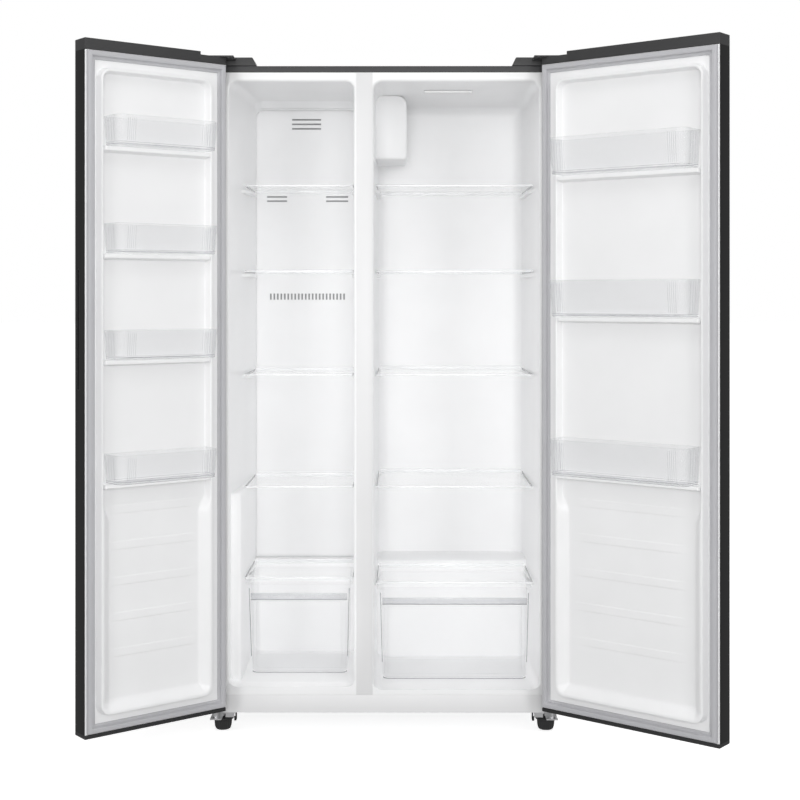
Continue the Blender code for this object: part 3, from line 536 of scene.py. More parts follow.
def cabinet_core():
    """Insulation between the wrap and the two liners, open for the machine room."""
    lo, hi = cab_box("cabinet_foam")
    room_y, room_z = 0.4047, ROOM_Z + 0.0003
    front = 0.0046
    side = [(front, lo.z), (room_y, lo.z), (room_y, room_z), (hi.y, room_z), (hi.y, hi.z), (front, hi.z)]
    block = prism(side, lo.x, hi.x, "x")
    core = piece("cabinet_core", block, "foam", nodes=("cabinet_foam",))
    for room, back_r in ((FREEZER_ROOM, 0.006), (FRIDGE_ROOM, 0.030)):
        cut(core, loft(room_rings(room, back_r, 0.0035)), CAB)


def duct_back():
    """A grey plate behind the duct cover's slots, painted shade for the dim air channel inside them, and a pale
    strip round its edge.
    """
    lo, hi = cab_box("duct_cover")
    # painted shade: a grey plate in the slots' shadow, so the slots read dim
    plate = soft_box(
        (lo.x + 0.004, hi.x - 0.004), (lo.y + 0.0088, lo.y + 0.0100), (lo.z + 0.004, hi.z - 0.004), 0.0005
    )
    piece("duct_slot_shade", plate, "cover_white", look="slot_shade_grey")
    loops = []
    for grow, dy in ((0.0002, 0.0010), (0.0040, 0.0010), (0.0040, 0.0022), (0.0002, 0.0022)):
        side = min(grow, 0.0015)
        plan = round_rect(
            lo.x - side, hi.x + side, lo.z + 0.0002, hi.z + grow, (0.003, 0.003, 0.022, 0.022), 8
        )
        loops.append([(a, lo.y + dy, b) for a, b in plan])
    sill = soft_box(
        (lo.x + 0.0004, hi.x - 0.0004), (lo.y + 0.0008, lo.y + 0.0024),
        (HUMP_Z + 0.0002, lo.z - 0.0002), 0.0004,
    )
    piece("duct_edge_strip", join(loft(loops, closed=True), sill), "cover_white")


# ---------------------------------------------------------------- shelves
def shelf(node, body):
    """A glass plate in a clear frame: a rounded front trim, thin sides, a raised back lip."""
    lo, hi = cab_box(node)
    z = lo.z + GLASS_TOP
    x0, x1, y0, y1 = lo.x, hi.x, lo.y, hi.y
    plate = soft_box((x0 + 0.0015, x1 - 0.0015), (y0 + 0.006, y1 - 0.003), (z - 0.004, z), 0.0006)
    piece(node + "_glass", plate, "clear_glass", body, nodes=(node,))
    front = soft_box((x0, x1), (y0, y0 + 0.0090), (z - 0.0042, z + 0.0006), 0.0016, 4)
    back = soft_box((x0 + 0.004, x1 - 0.004), (y1 - 0.006, y1), (z - 0.0045, z + 0.0068), 0.0012)
    piece(node + "_trim", join(front, back), "clear_glass", body, look="clear_trim")
    edges = []
    for a, b in ((x0, x0 + 0.0020), (x1 - 0.0020, x1)):
        edges.append(soft_box((a, b), (y0 + 0.008, y1 - 0.004), (z - 0.0048, z + 0.0012), 0.0006))
    # the thin sides are real, but their dark colour is painted shade for the refraction line along the glass's
    # edges
    piece(node + "_edges", join(*edges), "clear_glass", body, look="clear_edge_shade")


def shelves():
    for word in ("freezer", "fridge"):
        for n in range(1, 5):
            shelf(f"{word}_shelf_{n}", f"{word}_shelf_{n}")
        shelf(f"{word}_drawer_cover", f"{word}_drawer_cover")


# ---------------------------------------------------------------- drawers
def drawer(node):
    """A clear bin with a rolled rim, a pull lip and a framed front."""
    lo, hi = cab_box(node)
    x0, x1, y0, y1, low, top = lo.x - 0.0015, hi.x + 0.0015, 0.0950, hi.y, lo.z, hi.z
    t = 0.0026
    foot = 0.112 if node == "freezer_drawer" else 0.103  # y of the front wall's lower edge

    def ring(z, inset, front, back, r):
        plan = round_rect(x0 + inset, x1 - inset, front, back, (r, r, r * 0.7, r * 0.7), 8)
        return [(a, b, z) for a, b in plan]

    rim = top - 0.0036
    rings = [
        ring(low + t, 0.0205 + t, foot + 0.005 + t, y1 - 0.017 - t, 0.014),
        ring(low + 0.005 + t, 0.0160 + t, foot - 0.0004 + t, y1 - 0.012 - t, 0.016),
        ring(rim, 0.0105 + t, 0.1020 + t, y1 - 0.006 - t, 0.016),
        ring(top - 0.0008, 0.0100 + t, 0.1014 + t, y1 - 0.006 - t, 0.016),
        ring(top, 0.0090 + t, 0.1004 + t, y1 - 0.005 - t, 0.016),
        ring(top, 0.0025, y0 + 0.0010, y1 - 0.001, 0.010),
        ring(top - 0.0010, 0.0015, y0, y1, 0.010),
        ring(rim, 0.0018, y0 + 0.0003, y1 - 0.0003, 0.010),
        ring(rim - 0.0004, 0.0105, 0.1020, y1 - 0.006, 0.018),
        ring(low + 0.008, 0.0162, foot - 0.0002, y1 - 0.0118, 0.018),
        ring(low + 0.002, 0.0178, foot + 0.0018, y1 - 0.014, 0.017),
        ring(low, 0.0205, foot + 0.005, y1 - 0.017, 0.015),
    ]
    shell = loft(rings)

    def front_y(z):
        return 0.1020 + (rim - z) / (rim - low) * (foot - 0.1022)

    band = (top - 0.0440, top - 0.0275)
    pull = soft_box((x0 + 0.016, x1 - 0.016), (y0 + 0.002, y0 + 0.0046), band, 0.0011)
    roll = soft_box(
        (x0 + 0.016, x1 - 0.016), (y0, y0 + 0.0066), (band[0] - 0.0016, band[0]), 0.0007
    )
    lines = []
    bend = ring(low, 0.0176, foot + 0.0012, y1 - 0.014, 0.017)[:18]
    inner_bend = ring(low, 0.0198, foot + 0.0034, y1 - 0.014, 0.015)[:18]
    edge = [(x, y) for x, y, _ in bend + inner_bend[::-1]]
    lines.append(prism(edge, low + 0.0004, low + 0.0022))
    for a, b, sign in ((x0 + 0.0100, x0 + 0.0150, 1), (x1 - 0.0100, x1 - 0.0150, -1)):
        corner = [(a, 0.106, rim - 0.012), (a + 0.0018 * sign, 0.106, rim - 0.012),
                  (b + 0.0018 * sign, foot + 0.004, low + 0.045), (b, foot + 0.004, low + 0.045)]
        lines.append(loft([corner, [(x, y + 0.0016, z) for x, y, z in corner]]))
    hoops = []
    for margin, z_low, z_high in ((0.030, low + 0.014, top - 0.050),):
        outer = round_rect(x0 + margin, x1 - margin, z_low, z_high, 0.010, 8)
        inner = round_rect(
            x0 + margin + 0.0024, x1 - margin - 0.0024, z_low + 0.0024, z_high - 0.0024, 0.008, 8
        )
        hoops.append(
            loft(
                [
                    [(a, front_y(b) + dy, b) for a, b in plan]
                    for plan, dy in ((outer, 0.0010), (outer, -0.0012), (inner, -0.0012), (inner, 0.0010))
                ],
                closed=True,
            )
        )
    ribs = []
    for side in (-1, 1):
        for n in range(4):
            a = (x0 + 0.022 + 0.0040 * n) if side < 0 else (x1 - 0.022 - 0.0040 * n)
            bar = soft_box((a - 0.0006, a + 0.0006), (0.0, 0.0016), (low + 0.016, rim - 0.040), 0.0005)
            ribs.append(moved(bar, lambda x, y, z: (x, y + front_y(z) + t - 0.0003, z)))
    piece(node + "_bin", join(shell, *hoops, *ribs), "clear_plastic", node, nodes=(node,))
    # the pull is a real lip, greyed as painted shade for its refraction lines
    piece(node + "_pull", pull, "clear_plastic", node, look="clear_line_shade")
    # the roll is a real lip; its dark colour, and the bottom bend and corner strips, are painted shade for
    # refraction lines in the clear plastic
    piece(node + "_lines", join(roll, *lines), "clear_plastic", node, look="clear_edge_shade")


# ---------------------------------------------------------------- doors
class Door:
    """Where a door hangs, and its sizes, read from the frame."""

    def __init__(self, word, side):
        self.word, self.side, self.body = word, side, f"{word}_door"
        joint = JOINTS[f"{word}_door_hinge"]
        x, y, _ = joint["pos_m"]
        turn = side * math.radians(joint["range_deg"][0])
        self.matrix = Matrix.Translation((x, y, 0.0)) @ Matrix.Rotation(turn, 4, "Z")
        lo, hi = local_box(f"{word}_door_skin", self.matrix)
        self.pivot = -lo.x if side > 0 else hi.x
        self.width = hi.x - lo.x
        self.out, self.inner = lo.y, hi.y
        self.low, self.high = lo.z, hi.z
        self.bottom = local_box(f"{word}_door_bottom_cap", self.matrix)[0].z
        self.top = local_box(f"{word}_door_top_cap", self.matrix)[1].z

    def x(self, u):
        return self.side * (u - self.pivot)

    def at(self, part):
        """A part made in (u, y, z), carried to the door's own x."""
        return moved(part, lambda u, y, z: (self.x(u), y, z))

    def piece(self, name, part, slot, nodes=(), look=None, angle=35, body=None):
        return piece(
            f"{self.word}_{name}", self.at(part), slot, body or self.body, self.matrix,
            [f"{self.word}_{node}" for node in nodes], angle, look,
        )


EDGE_STRIP = 0.0020  # the liner's rim, folded round the door's inner edge
CREST = 0.0240  # height of the raised frame over the door's inner face
FIELD = 0.0030  # height of the flat middle
LEDGE = 0.0310  # height of the ledges that the bins stand on
RIB_Z = (0.629, 0.540, 0.452, 0.364, 0.276)
WIDE_Z = (0.600, 0.652)  # below the lowest bin the frame's inner slope widens


def step(t):
    t = np.clip(t, 0.0, 1.0)
    return t * t * (3.0 - 2.0 * t)


def inset(u, z, u0, u1, z0, z1, r):
    """How far a point lies inside a rounded rectangle."""
    du = np.abs(u - (u0 + u1) / 2) - ((u1 - u0) / 2 - r)
    dz = np.abs(z - (z0 + z1) / 2) - ((z1 - z0) / 2 - r)
    outside = np.hypot(np.maximum(du, 0), np.maximum(dz, 0))
    return r - outside - np.minimum(np.maximum(du, dz), 0)


def liner_height(door, bins, u, z):
    """Height of a door liner over the door's inner face."""
    w = door.width
    rise = step(inset(u, z, 0.0500, w - 0.0290, 0.127, 1.716, 0.030) / 0.0045)
    wide = 1 - step((z - WIDE_Z[0]) / (WIDE_Z[1] - WIDE_Z[0]))
    depth_in = inset(u, z, 0.0590, w - 0.0375, 0.136, 1.707, 0.024)
    fall = step(depth_in / (0.0062 + 0.022 * wide))
    height = CREST * rise - (CREST - FIELD) * fall
    inside = step((depth_in - 0.001) / 0.005)
    for base in bins:
        shelf_up = step((z - (base - 0.0175)) / 0.0060) * (1 - step((z - (base - 0.0030)) / 0.0024))
        height = np.maximum(height, (LEDGE - 0.002) * shelf_up * inside)
    for middle in RIB_Z:
        across = step((u - 0.24 * w) / 0.010) * (1 - step((u - 0.80 * w) / 0.010))
        band = step((z - middle + 0.0115) / 0.003) * (1 - step((z - middle - 0.0085) / 0.003))
        height = height + 0.0009 * across * band
    return height


def grid_lines(spans):
    """Sorted grid positions from (start, end, spacing) spans."""
    values = []
    for start, end, gap in spans:
        count = max(1, round((end - start) / gap))
        values += [start + (end - start) * n / count for n in range(count + 1)]
    values = sorted(values)
    kept = values[:1]
    for value in values[1:]:
        if value - kept[-1] > 0.0004:
            kept.append(value)
    return np.array(kept)


def door_grid(door, bins, edge):
    w = door.width
    us = grid_lines([(edge, 0.048, 0.012), (0.049, 0.0590, 0.0010), (0.0590, 0.0680, 0.0009),
                     (0.068, 0.090, 0.0028), (0.090, w - 0.068, 0.022),
                     (w - 0.068, w - 0.0465, 0.0028), (w - 0.0465, w - 0.0375, 0.0009),
                     (w - 0.0375, w - 0.0275, 0.0010), (w - 0.0275, w - edge, 0.012)])
    spans = [(door.low + edge, 0.125, 0.012), (0.126, 0.146, 0.0010), (0.146, 0.170, 0.003),
             (0.170, 0.600, 0.020), (0.600, 0.652, 0.004), (0.652, 1.690, 0.020),
             (1.690, 1.7165, 0.0010), (1.7165, door.high - edge, 0.012)]
    for base in bins:
        spans += [(base - 0.019, base + 0.001, 0.0008)]
    for middle in RIB_Z:
        spans += [(middle - 0.0125, middle - 0.0075, 0.00125), (middle + 0.0075, middle + 0.0125, 0.00125)]
    return us, grid_lines(spans)


def height_shell(door, bins, edge, front, back):
    """A closed shell over the door grid; front and back are (height factor, base y)."""
    us, zs = door_grid(door, bins, edge)
    uu, zz = np.meshgrid(us, zs)
    relief = liner_height(door, bins, uu, zz)
    rows, cols = uu.shape
    verts, faces = [], []
    for factor, base in (front, back):
        ys = base + factor * relief
        verts += [tuple(p) for p in np.stack((uu, ys, zz), -1).reshape(-1, 3)]
    half = rows * cols
    for r in range(rows - 1):
        for c in range(cols - 1):
            a = r * cols + c
            quad = (a, a + 1, a + cols + 1, a + cols)
            faces += [quad, tuple(half + i for i in quad)]
    rim = [c for c in range(cols)]
    rim += [r * cols + cols - 1 for r in range(1, rows)]
    rim += [(rows - 1) * cols + c for c in range(cols - 2, -1, -1)]
    rim += [r * cols for r in range(rows - 2, 0, -1)]
    for a, b in zip(rim, rim[1:] + rim[:1]):
        faces.append((a, b, half + b, half + a))
    return verts, faces


def door_liner(door, bins, groove):
    """Moulded inner liner; its rim folds round the door's edges as a pale strip."""
    edge = 0.0006
    shell = height_shell(door, bins, edge, (1.0, door.inner), (1.0, door.inner - 0.0014))
    rim = []
    z0, z1 = door.low + 0.0004, door.high - 0.0004
    for u0, u1 in ((edge, edge + 0.0014), (door.width - edge - 0.0014, door.width - edge)):
        rim.append(soft_box((u0, u1), (door.inner - EDGE_STRIP, door.inner), (z0, z1), 0.0006))
    door.piece("door_inner", join(shell, *rim), "liner_white", ("door_liner",), angle=60)
    core = height_shell(door, bins, 0.004, (1.0, door.inner - 0.0034), (0.0, door.out + 0.0025))
    fill = door.piece("door_core", core, "foam", ("door_foam",))
    if groove:
        cut(fill, groove, door.matrix)


def door_skin(door, groove):
    """Folded steel skin: the front and both edges, up to the liner's rim."""
    t, r = 0.0010, 0.0045
    w, out, end = door.width, door.out, door.inner - EDGE_STRIP - 0.0003

    def arc(cu, cy, radius, start, turn):
        steps = [start + turn * s * math.pi / 12 for s in range(7)]
        return [(cu + radius * math.cos(a), cy + radius * math.sin(a)) for a in steps]

    path = [(t, end), (0.0, end)]
    path += arc(r, out + r, r, math.pi, 1) + arc(w - r, out + r, r, 1.5 * math.pi, 1)
    path += [(w, end), (w - t, end)]
    path += arc(w - r, out + r, r - t, 0.0, -1) + arc(r, out + r, r - t, 1.5 * math.pi, -1)
    skin = door.piece(
        "door_panel", prism(path, door.low, door.high), "black_paint", ("door_skin",)
    )
    if groove:
        cut(skin, groove, door.matrix)


def door_caps(door):
    """Moulded end caps; the top one is lower next to the hinge."""
    r, w, out, inner = 0.0045, door.width, door.out, door.inner
    step_u = 0.075
    step_z = local_box(f"top_hinge_{'left' if door.side > 0 else 'right'}", CAB)[1].z - 0.0026

    def ring(u0, u1, z, m, r_left, r_right):
        plan = round_rect(u0 + m, u1 - m, out + m, inner - m, (
            max(r_left - m, 0.0003), max(r_right - m, 0.0003), 0.0012, 0.0012), 6)
        return [(a, b, z) for a, b in plan]

    def slab(u0, u1, z0, z1, r_left, r_right, low_round=0.0):
        soft = 0.0014
        rings = [ring(u0, u1, z0, low_round, r_left, r_right)]
        if low_round:
            rings.append(ring(u0, u1, z0 + low_round, 0.0, r_left, r_right))
        for s in range(5):
            t = s / 4 * math.pi / 2
            rings.append(
                ring(u0, u1, z1 - soft * (1 - math.sin(t)), soft * (1 - math.cos(t)), r_left, r_right)
            )
        return loft(rings)

    high = slab(step_u, w, door.high + 0.0003, door.top, 0.0008, r)
    low = slab(0.0, step_u + 0.002, door.high + 0.0003, step_z, r, 0.0008)
    door.piece("door_cap_top", join(high, low), "dark_cap", ("door_top_cap",))
    bottom = slab(0.0, w, door.bottom, door.low - 0.0003, r, r, 0.0012)
    door.piece("door_cap_bottom", bottom, "black_plastic", ("door_bottom_cap",))


GASKET = (  # margin from the seal's outer edge, height over the door's inner face
    (0.0004, 0.0004), (0.0000, 0.0016), (0.0004, 0.0046), (0.0010, 0.0074), (0.0024, 0.0096),
    (0.0046, 0.0104), (0.0074, 0.0100), (0.0102, 0.0104), (0.0124, 0.0096), (0.0138, 0.0074),
    (0.0140, 0.0048), (0.0148, 0.0036), (0.0160, 0.0042), (0.0176, 0.0047), (0.0196, 0.0041),
    (0.0216, 0.0026), (0.0225, 0.0008), (0.0222, 0.0004),
)


def door_gasket(door):
    """Magnetic seal: a hollow bulb with a shallow groove, and a thin inner lip."""
    loops = []
    for margin, height in GASKET:
        plan = round_rect(
            0.004 + margin, door.width - 0.004 - margin, 0.0870 + margin, 1.7560 - margin,
            0.0012, 3,
        )
        loops.append([(a, door.inner + height, b) for a, b in plan])
    door.piece("door_seal", loft(loops, closed=True), "seal_grey", ("door_gasket",))


GRIP_Y = (-0.0177, -0.0033)  # across the door's thickness
GRIP_DEEP = 0.0270
GRIP_ENDS = 0.0103  # the insert goes on past the groove's ends by this


def door_grip(door):
    """Black cup for the fingers, let into the door's free edge."""
    lo, hi = local_box(f"{door.word}_door_grip", door.matrix)
    wall = 0.0014
    y0, y1 = GRIP_Y
    z0, z1 = lo.z + GRIP_ENDS, hi.z - GRIP_ENDS
    u_mouth, u_floor = door.width, door.width - GRIP_DEEP

    def ring(m, u, r):
        return [(u, a, b) for a, b in round_rect(y0 + m, y1 - m, z0 + m, z1 - m, r, 5)]

    cup = loft([
        ring(wall, u_floor + wall + 0.001, 0.0036), ring(wall, u_mouth - 0.0006, 0.0036),
        ring(wall - 0.0006, u_mouth, 0.0040), ring(0.0004, u_mouth, 0.0010),
        ring(0.0, u_mouth - 0.0005, 0.0010), ring(0.0, u_floor, 0.0010),
    ])
    door.piece("door_grip_cup", cup, "black_plastic", ("door_grip",))
    gap = 0.0003
    return door.at(soft_box(
        (u_floor - gap, u_mouth + 0.02), (y0 - gap, y1 + gap), (z0 - gap, z1 + gap), 0.0010
    ))


# ---------------------------------------------------------------- door bins
def door_bin(door, n):
    node = f"{door.word}_bin_{n}"
    lo, hi = local_box(node, door.matrix)
    z, top = lo.z, hi.z
    u0, u1 = 0.0665, door.width - 0.0465
    y0, y1 = lo.y, hi.y
    wall = 0.0021
    height = top - z

    def ring(zz, m, front, r):
        plan = round_rect(u0 + m, u1 - m, y0 + min(m, 0.003), y1 - front, (0.004, 0.004, r, r), 8)
        return [(a, b, zz) for a, b in plan]

    def taper(zz):
        """How far the front leans in at a height: (end margin, front margin)."""
        f = (top - zz) / height
        return 0.0042 * f, 0.0075 * f

    def wall_ring(zz, more, r):
        m, front = taper(zz)
        return ring(zz, m + more, front + more, r)

    rings = [
        wall_ring(z + 0.0034, wall + 0.0060, 0.014),
        wall_ring(z + 0.0044, wall + 0.0016, 0.018),
        wall_ring(z + 0.0080, wall, 0.020),
        wall_ring(top - 0.0050, wall, 0.022),
        wall_ring(top - 0.0036, wall + 0.0006, 0.022),
        wall_ring(top - 0.0006, wall + 0.0004, 0.022),
        wall_ring(top, wall - 0.0004, 0.022),
        wall_ring(top, 0.0006, 0.024),
        wall_ring(top - 0.0007, 0.0, 0.024),
        wall_ring(top - 0.0070, 0.0, 0.024),
        wall_ring(z + 0.0060, 0.0, 0.020),
        wall_ring(z + 0.0016, 0.0016, 0.018),
        wall_ring(z, 0.0036, 0.016),
    ]
    shell = loft(rings)
    extras = []
    for end, sign in ((u0, 1), (u1, -1)):
        for k in range(5):
            u = end + sign * (0.0290 + 0.0052 * k)
            bar = soft_box((u - 0.0007, u + 0.0007), (-0.0016, 0.0), (z + 0.010, top - 0.007), 0.0005)
            extras.append(moved(bar, lambda a, b, c: (a, b + y1 - wall - taper(c)[1] + 0.0003, c)))
        for k in range(3):
            y = y0 + 0.020 + 0.013 * k
            bar = soft_box((0.0, 0.0014), (y, y + 0.0014), (z + 0.010, top - 0.007), 0.0005)
            extras.append(moved(
                bar, lambda a, b, c: (end + sign * (a + wall + taper(c)[0] - 0.0003), b, c)
            ))
    for k in range(3):
        y = y0 + 0.018 + 0.014 * k
        bar = soft_box(
            (u0 + 0.022, u1 - 0.022), (y, y + 0.0018), (z + 0.0030, z + 0.0046), 0.0006
        )
        extras.append(bar)
    tray = join(shell, *extras)
    door.piece(f"bin_{n}_tray", tray, "clear_plastic", (f"bin_{n}",), look="clear_bin", body=node)
    # these bands at the bin's foot are painted shade: grey strips where the bent plastic shows refraction lines
    lines = []
    for zz, tall in ((z + 0.0012, 0.0014), (z + 0.0060, 0.0012)):
        inner = [wall_ring(zz + tall, 0.0014, 0.020), wall_ring(zz, 0.0014, 0.020)]
        outer = [wall_ring(zz, -0.0003, 0.022), wall_ring(zz + tall, -0.0003, 0.022)]
        lines.append(loft(inner + outer, closed=True))
    door.piece(f"bin_{n}_lines", join(*lines), "clear_plastic", look="clear_line_shade", body=node)


# ---------------------------------------------------------------- hinges, feet, back
def foot(word):
    """A levelling foot: a fluted cup under a threaded stem."""
    lo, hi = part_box(f"front_foot_{word}")
    centre = ((lo.x + hi.x) / 2, (lo.y + hi.y) / 2, 0.0)
    profile = ((0.0150, 0.0), (0.0176, 0.0006), (0.0200, 0.0030), (0.0218, 0.0080),
               (0.0228, 0.0150), (0.0234, 0.0230), (0.0234, 0.0256), (0.0226, 0.0264),
               (0.0100, 0.0268))
    cup = turned(profile, centre, sides=96, wave=0.055, waves=24)
    collar = turned(
        ((0.0215, 0.0264), (0.0276, 0.0280), (0.0285, 0.0290), (0.0285, 0.0322), (0.0276, 0.0331),
         (0.0120, 0.0345), (0.008, 0.0348)),
        centre, sides=48,
    )
    thread = []
    for n in range(10):
        h = 0.0346 + 0.0020 * n
        thread += [(0.0044, h), (0.0050, h + 0.0007), (0.0050, h + 0.0011)]
    thread = [(r, min(h, hi.z)) for r, h in thread] + [(0.0044, hi.z + 0.0002)]
    stem = turned(thread, centre, sides=24)
    body = f"front_foot_{word}"
    still = Matrix.Identity(4)
    piece(body + "_cup", join(cup, collar), "black_plastic", body, still, (body,))
    piece(body + "_stem", stem, "black_plastic", body, still, look="zinc_steel")


HOOK_X = 0.3905  # inner face of the hook beside each bottom hinge bracket
HOOK_Y = 0.0034


def bracket_hook(word, side):
    """A dark folded ear that hangs from the inner end of a bottom hinge bracket."""
    parts = []
    for thick, deep, z in ((0.0030, 0.0166, (0.0350, 0.0562)), (0.0060, 0.0026, (0.0340, 0.0460))):
        x0, x1 = sorted((side * HOOK_X, side * (HOOK_X + thick)))
        parts.append(soft_box((x0, x1), (HOOK_Y, HOOK_Y + deep), z, 0.0008))
    piece(f"bracket_hook_{word}", join(*parts), "black_plastic")


def screw(x, y, z, axis="y", out=1.0):
    """A hex washer head standing out of a panel."""
    washer = turned(((0.0052, 0.0), (0.0052, 0.0004 * out), (0.0040, 0.0007 * out)), (x, y, z), axis, 20)
    head = turned(((0.0036, 0.0), (0.0036, 0.0011 * out), (0.0030, 0.0015 * out)), (x, y, z), axis, 6)
    return join(washer, head)


PRESSED_X = ((-0.40, -0.03), (0.03, 0.40))  # pressed stiffening fields of the back panel
PRESSED_Z = ((0.42, 0.86), (0.92, 1.70))
PRESSED_EDGE = 0.008  # width of a field's sloping edge
PRESSED_DEPTH = 0.0009
COVER_SCREW_X = (-0.44, -0.22, 0.0, 0.22, 0.44)
COVER_SCREW_Z = (0.066, 0.340)


def pressed_lines(low, high, coarse, fields):
    """Grid lines across the back panel, close together at the edges of its fields."""
    fine = [(a - PRESSED_EDGE, a + PRESSED_EDGE, 0.004) for pair in fields for a in pair]
    return grid_lines([(low, high, coarse)] + fine)


def back_side():
    """Back panel with pressed stiffening fields, and the screws of the vented room cover."""
    lo, hi = cab_box("back_panel")
    xs = pressed_lines(lo.x, hi.x, 0.03, PRESSED_X)
    zs = pressed_lines(lo.z, hi.z, 0.04, PRESSED_Z)
    xx, zz = np.meshgrid(xs, zs)
    pressed = np.zeros_like(xx)
    for x0, x1 in PRESSED_X:
        for z0, z1 in PRESSED_Z:
            near = inset(xx, zz, x0, x1, z0, z1, 0.03)
            pressed = np.maximum(pressed, step(near / PRESSED_EDGE))
    rows, cols = xx.shape
    verts, faces = [], []
    for y in (hi.y - PRESSED_DEPTH * pressed, np.full_like(xx, lo.y)):
        verts += [tuple(p) for p in np.stack((xx, y, zz), -1).reshape(-1, 3)]
    half = rows * cols
    for r in range(rows - 1):
        for c in range(cols - 1):
            a = r * cols + c
            quad = (a, a + 1, a + cols + 1, a + cols)
            faces += [quad, tuple(half + i for i in quad)]
    rim = list(range(cols)) + [r * cols + cols - 1 for r in range(1, rows)]
    rim += [(rows - 1) * cols + c for c in range(cols - 2, -1, -1)]
    rim += [r * cols for r in range(rows - 2, 0, -1)]
    faces += [(a, b, half + b, half + a) for a, b in zip(rim, rim[1:] + rim[:1])]
    piece("back_sheet", (verts, faces), "galvanised", nodes=("back_panel",), angle=60)
    cover = cab_box("machine_cover")[1].y
    heads = [screw(x, cover, z) for x in COVER_SCREW_X for z in COVER_SCREW_Z]
    piece("cover_screws", join(*heads), "zinc_steel")


# ---------------------------------------------------------------- carried-over CAD pieces
SOFTENED = {  # CAD nodes that keep their shape, and the width of their rounded edges
    "base_pan": 0.0003, "machine_cover": 0.0003, "compressor": 0.0, "condenser": 0.0004,
    "evaporator": 0.0, "evaporator_fan": 0.0, "evaporator_fan_motor": 0.0,
    "duct_cover": 0.0,
    "top_hinge_left": 0.0006, "top_hinge_right": 0.0006,
    "bottom_hinge_left": 0.0006, "bottom_hinge_right": 0.0006,
    "rear_roller_left": 0.0008, "rear_roller_right": 0.0008,
}


ARM_Z = (1.7768, 1.7808)  # the cover's arm over the end of the door


def hinge_cover(word, side):
    """Moulded cap over a top hinge, its inner end sloping, its edges rounded."""
    lo, hi = cab_box(f"hinge_cover_{word}")
    top, low = hi.z, lo.z
    outer = max(abs(lo.x), abs(hi.x))
    inner_low, inner_top, door_x = min(abs(lo.x), abs(hi.x)), min(abs(lo.x), abs(hi.x)) + 0.011, 0.3905
    r = 0.0022

    def slope(x, y, z):
        if x < inner_top + 0.02:
            x += (inner_top - inner_low) * (z - low) / (top - low)
        return side * x, y, z

    over_cabinet = moved(soft_box((inner_low, outer), (0.0, hi.y), (low, top), r), slope)
    over_door = moved(
        soft_box((door_x, outer), (lo.y, 0.004), (ARM_Z[0], ARM_Z[1]), 0.0014),
        lambda x, y, z: (side * x, y, z),
    )
    piece(
        f"hinge_cap_{word}", join(over_cabinet, over_door), "black_plastic",
        nodes=(f"hinge_cover_{word}",), look="dark_cap",
    )


def fridge_fittings():
    lo, hi = cab_box("damper_housing")
    lo.x, hi.z = lo.x - 0.0050, hi.z + 0.0060
    rings = []
    for y, m in ((lo.y, 0.0060), (lo.y + 0.0008, 0.0030), (lo.y + 0.0030, 0.0008),
                 (lo.y + 0.0060, 0.0), (hi.y, 0.0)):
        plan = round_rect(lo.x, hi.x - m, lo.z + m, hi.z - m * 0.3, (0.006, 0.010, 0.026, 0.020), 8)
        rings.append([(a, y, b) for a, b in plan])
    vents = [
        soft_box((hi.x - 0.0010, hi.x + 0.0008), (lo.y + 0.030 + 0.012 * n, lo.y + 0.036 + 0.012 * n),
                 (lo.z + 0.030, hi.z - 0.050), 0.0004)
        for n in range(9)
    ]
    piece("damper_box", join(loft(rings), *vents), "cover_white", nodes=("damper_housing",))
    lo, hi = cab_box("lamp_lens")
    lens = soft_box((lo.x, hi.x), (lo.y, hi.y), (lo.z, hi.z), 0.0020)
    flutes = [
        soft_box((x, x + 0.003), (lo.y + 0.003, hi.y - 0.003), (lo.z - 0.0006, lo.z + 0.001), 0.0005)
        for x in np.arange(lo.x + 0.006, hi.x - 0.006, 0.006)
    ]
    piece("lamp_cover", join(lens, *flutes), "lamp_white", nodes=("lamp_lens",))


# ---------------------------------------------------------------- stage, lights, camera
FLOOR_GLOW = 0.75
ROOM_LIGHT = 0.48


def stage():
    size, z = 60.0, -0.0005
    verts = [(-size, -size, z), (size, -size, z), (size, size, z), (-size, size, z)]
    floor = mesh_object("studio_floor", (verts, [(0, 1, 2, 3)]), Matrix.Identity(4))
    paint = bpy.data.materials.new("floor_white")
    paint.use_nodes = True
    shader = paint.node_tree.nodes["Principled BSDF"]
    shader.inputs["Base Color"].default_value = (0.80, 0.80, 0.80, 1.0)
    shader.inputs["Roughness"].default_value = 0.9
    shader.inputs["Emission Color"].default_value = (1.0, 1.0, 1.0, 1.0)
    shader.inputs["Emission Strength"].default_value = FLOOR_GLOW
    floor.data.materials.append(paint)
    floor.visible_diffuse = floor.visible_glossy = False
    world = bpy.data.worlds.new("studio")
    world.use_nodes = True
    tree = world.node_tree
    backdrop = tree.nodes["Background"]
    backdrop.inputs["Color"].default_value = (1.0, 1.0, 1.0, 1.0)
    glow = add_node(tree, "ShaderNodeBackground", (-300, -200), Strength=ROOM_LIGHT)
    seen = tree.nodes.new("ShaderNodeLightPath")
    mix = tree.nodes.new("ShaderNodeMixShader")
    tree.links.new(seen.outputs["Is Camera Ray"], mix.inputs["Fac"])
    tree.links.new(glow.outputs["Background"], mix.inputs[1])
    tree.links.new(backdrop.outputs["Background"], mix.inputs[2])
    tree.links.new(mix.outputs["Shader"], tree.nodes["World Output"].inputs["Surface"])
    bpy.context.scene.world = world


def area_light(name, place, target, size, energy):
    data = bpy.data.lights.new(name, "AREA")
    data.shape = "RECTANGLE"
    data.size, data.size_y = size
    data.energy = energy
    lamp = bpy.data.objects.new(name, data)
    bpy.context.scene.collection.objects.link(lamp)
    lamp.location = place
    lamp.rotation_euler = (Vector(target) - Vector(place)).to_track_quat("-Z", "Y").to_euler()
    lamp.visible_camera = False


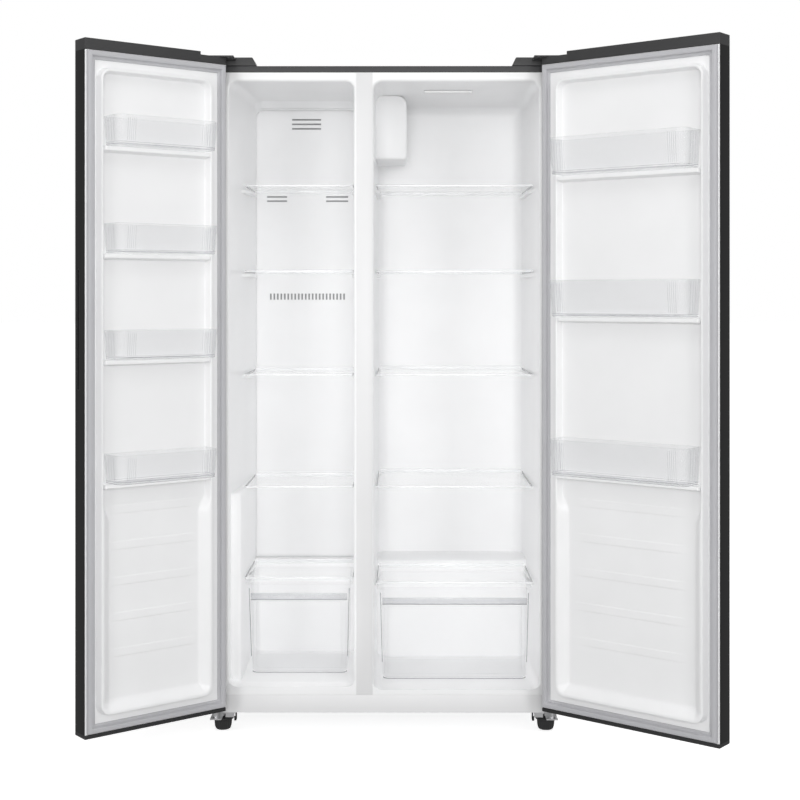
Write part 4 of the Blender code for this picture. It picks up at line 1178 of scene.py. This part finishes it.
def lights():
    area_light("front_box", (0.0, -5.0, 1.25), (0.0, 0.3, 0.95), (1.6, 2.2), 63)
    for side in (-1, 1):
        area_light(f"side_box_{side + 1}", (2.3 * side, -3.8, 1.5), (0.0, 0.1, 0.95), (1.0, 2.4), 30)
    for word, strength, low_strength in (("freezer", 0.46, 0.02), ("fridge", 0.47, 0.02)):
        lo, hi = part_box(f"{word}_liner")
        aside = 0.03 if word == "freezer" else 0.0
        x, y, z = (lo.x + hi.x) / 2 + aside, lo.y - 0.06, (lo.z + hi.z) / 2
        width, height = (hi.x - lo.x) * 0.60, (hi.z - lo.z) * 0.90
        area_light(f"{word}_fill", (x, y, z), (x, y + 1.0, z), (width, height), strength)
        low = lo.z + 0.155
        area_light(f"{word}_low_fill", (x, y, low), (x, y + 1.0, low), (width, 0.18), low_strength)
    area_light("top_box", (0.0, -1.8, 4.0), (0.0, 0.0, 0.9), (2.4, 1.6), 25)
    area_light("back_box", (1.5, 3.2, 2.6), (0.0, 0.3, 0.9), (2.4, 2.0), 40)


EYE = (0.0104, -3.9093, 1.1525)
EYE_TURN = 0.14  # degrees to the left
SENSOR, LENS, SHIFT_Y = 36.0, 65.1, -0.1284


def camera():
    data = bpy.data.cameras.new("view")
    data.sensor_width, data.lens, data.shift_y = SENSOR, LENS, SHIFT_Y
    data.dof.use_dof = False
    eye = bpy.data.objects.new("view", data)
    bpy.context.scene.collection.objects.link(eye)
    eye.location = EYE
    eye.rotation_euler = (math.radians(90.0), 0.0, math.radians(EYE_TURN))
    bpy.context.scene.camera = eye
    bpy.context.scene.view_settings.view_transform = "Standard"


# ---------------------------------------------------------------- everything
cabinet_shell()
front_trim()
liners()
cabinet_core()
duct_back()
shelves()
for word in ("freezer", "fridge"):
    drawer(f"{word}_drawer")
for word, side, count in (("freezer", 1, 4), ("fridge", -1, 3)):
    door = Door(word, side)
    bases = [local_box(f"{word}_bin_{n}", door.matrix)[0].z for n in range(1, count + 1)]
    groove = door_grip(door) if f"{word}_door_grip" in frame["nodes"] else None
    door_liner(door, bases, groove)
    door_skin(door, groove)
    door_caps(door)
    door_gasket(door)
    for n in range(1, count + 1):
        door_bin(door, n)
for word, side in (("left", -1), ("right", 1)):
    foot(word)
    bracket_hook(word, side)
    hinge_cover(word, side)
fridge_fittings()
back_side()
for node, width in SOFTENED.items():
    soften(node, width)
stage()
lights()
camera()
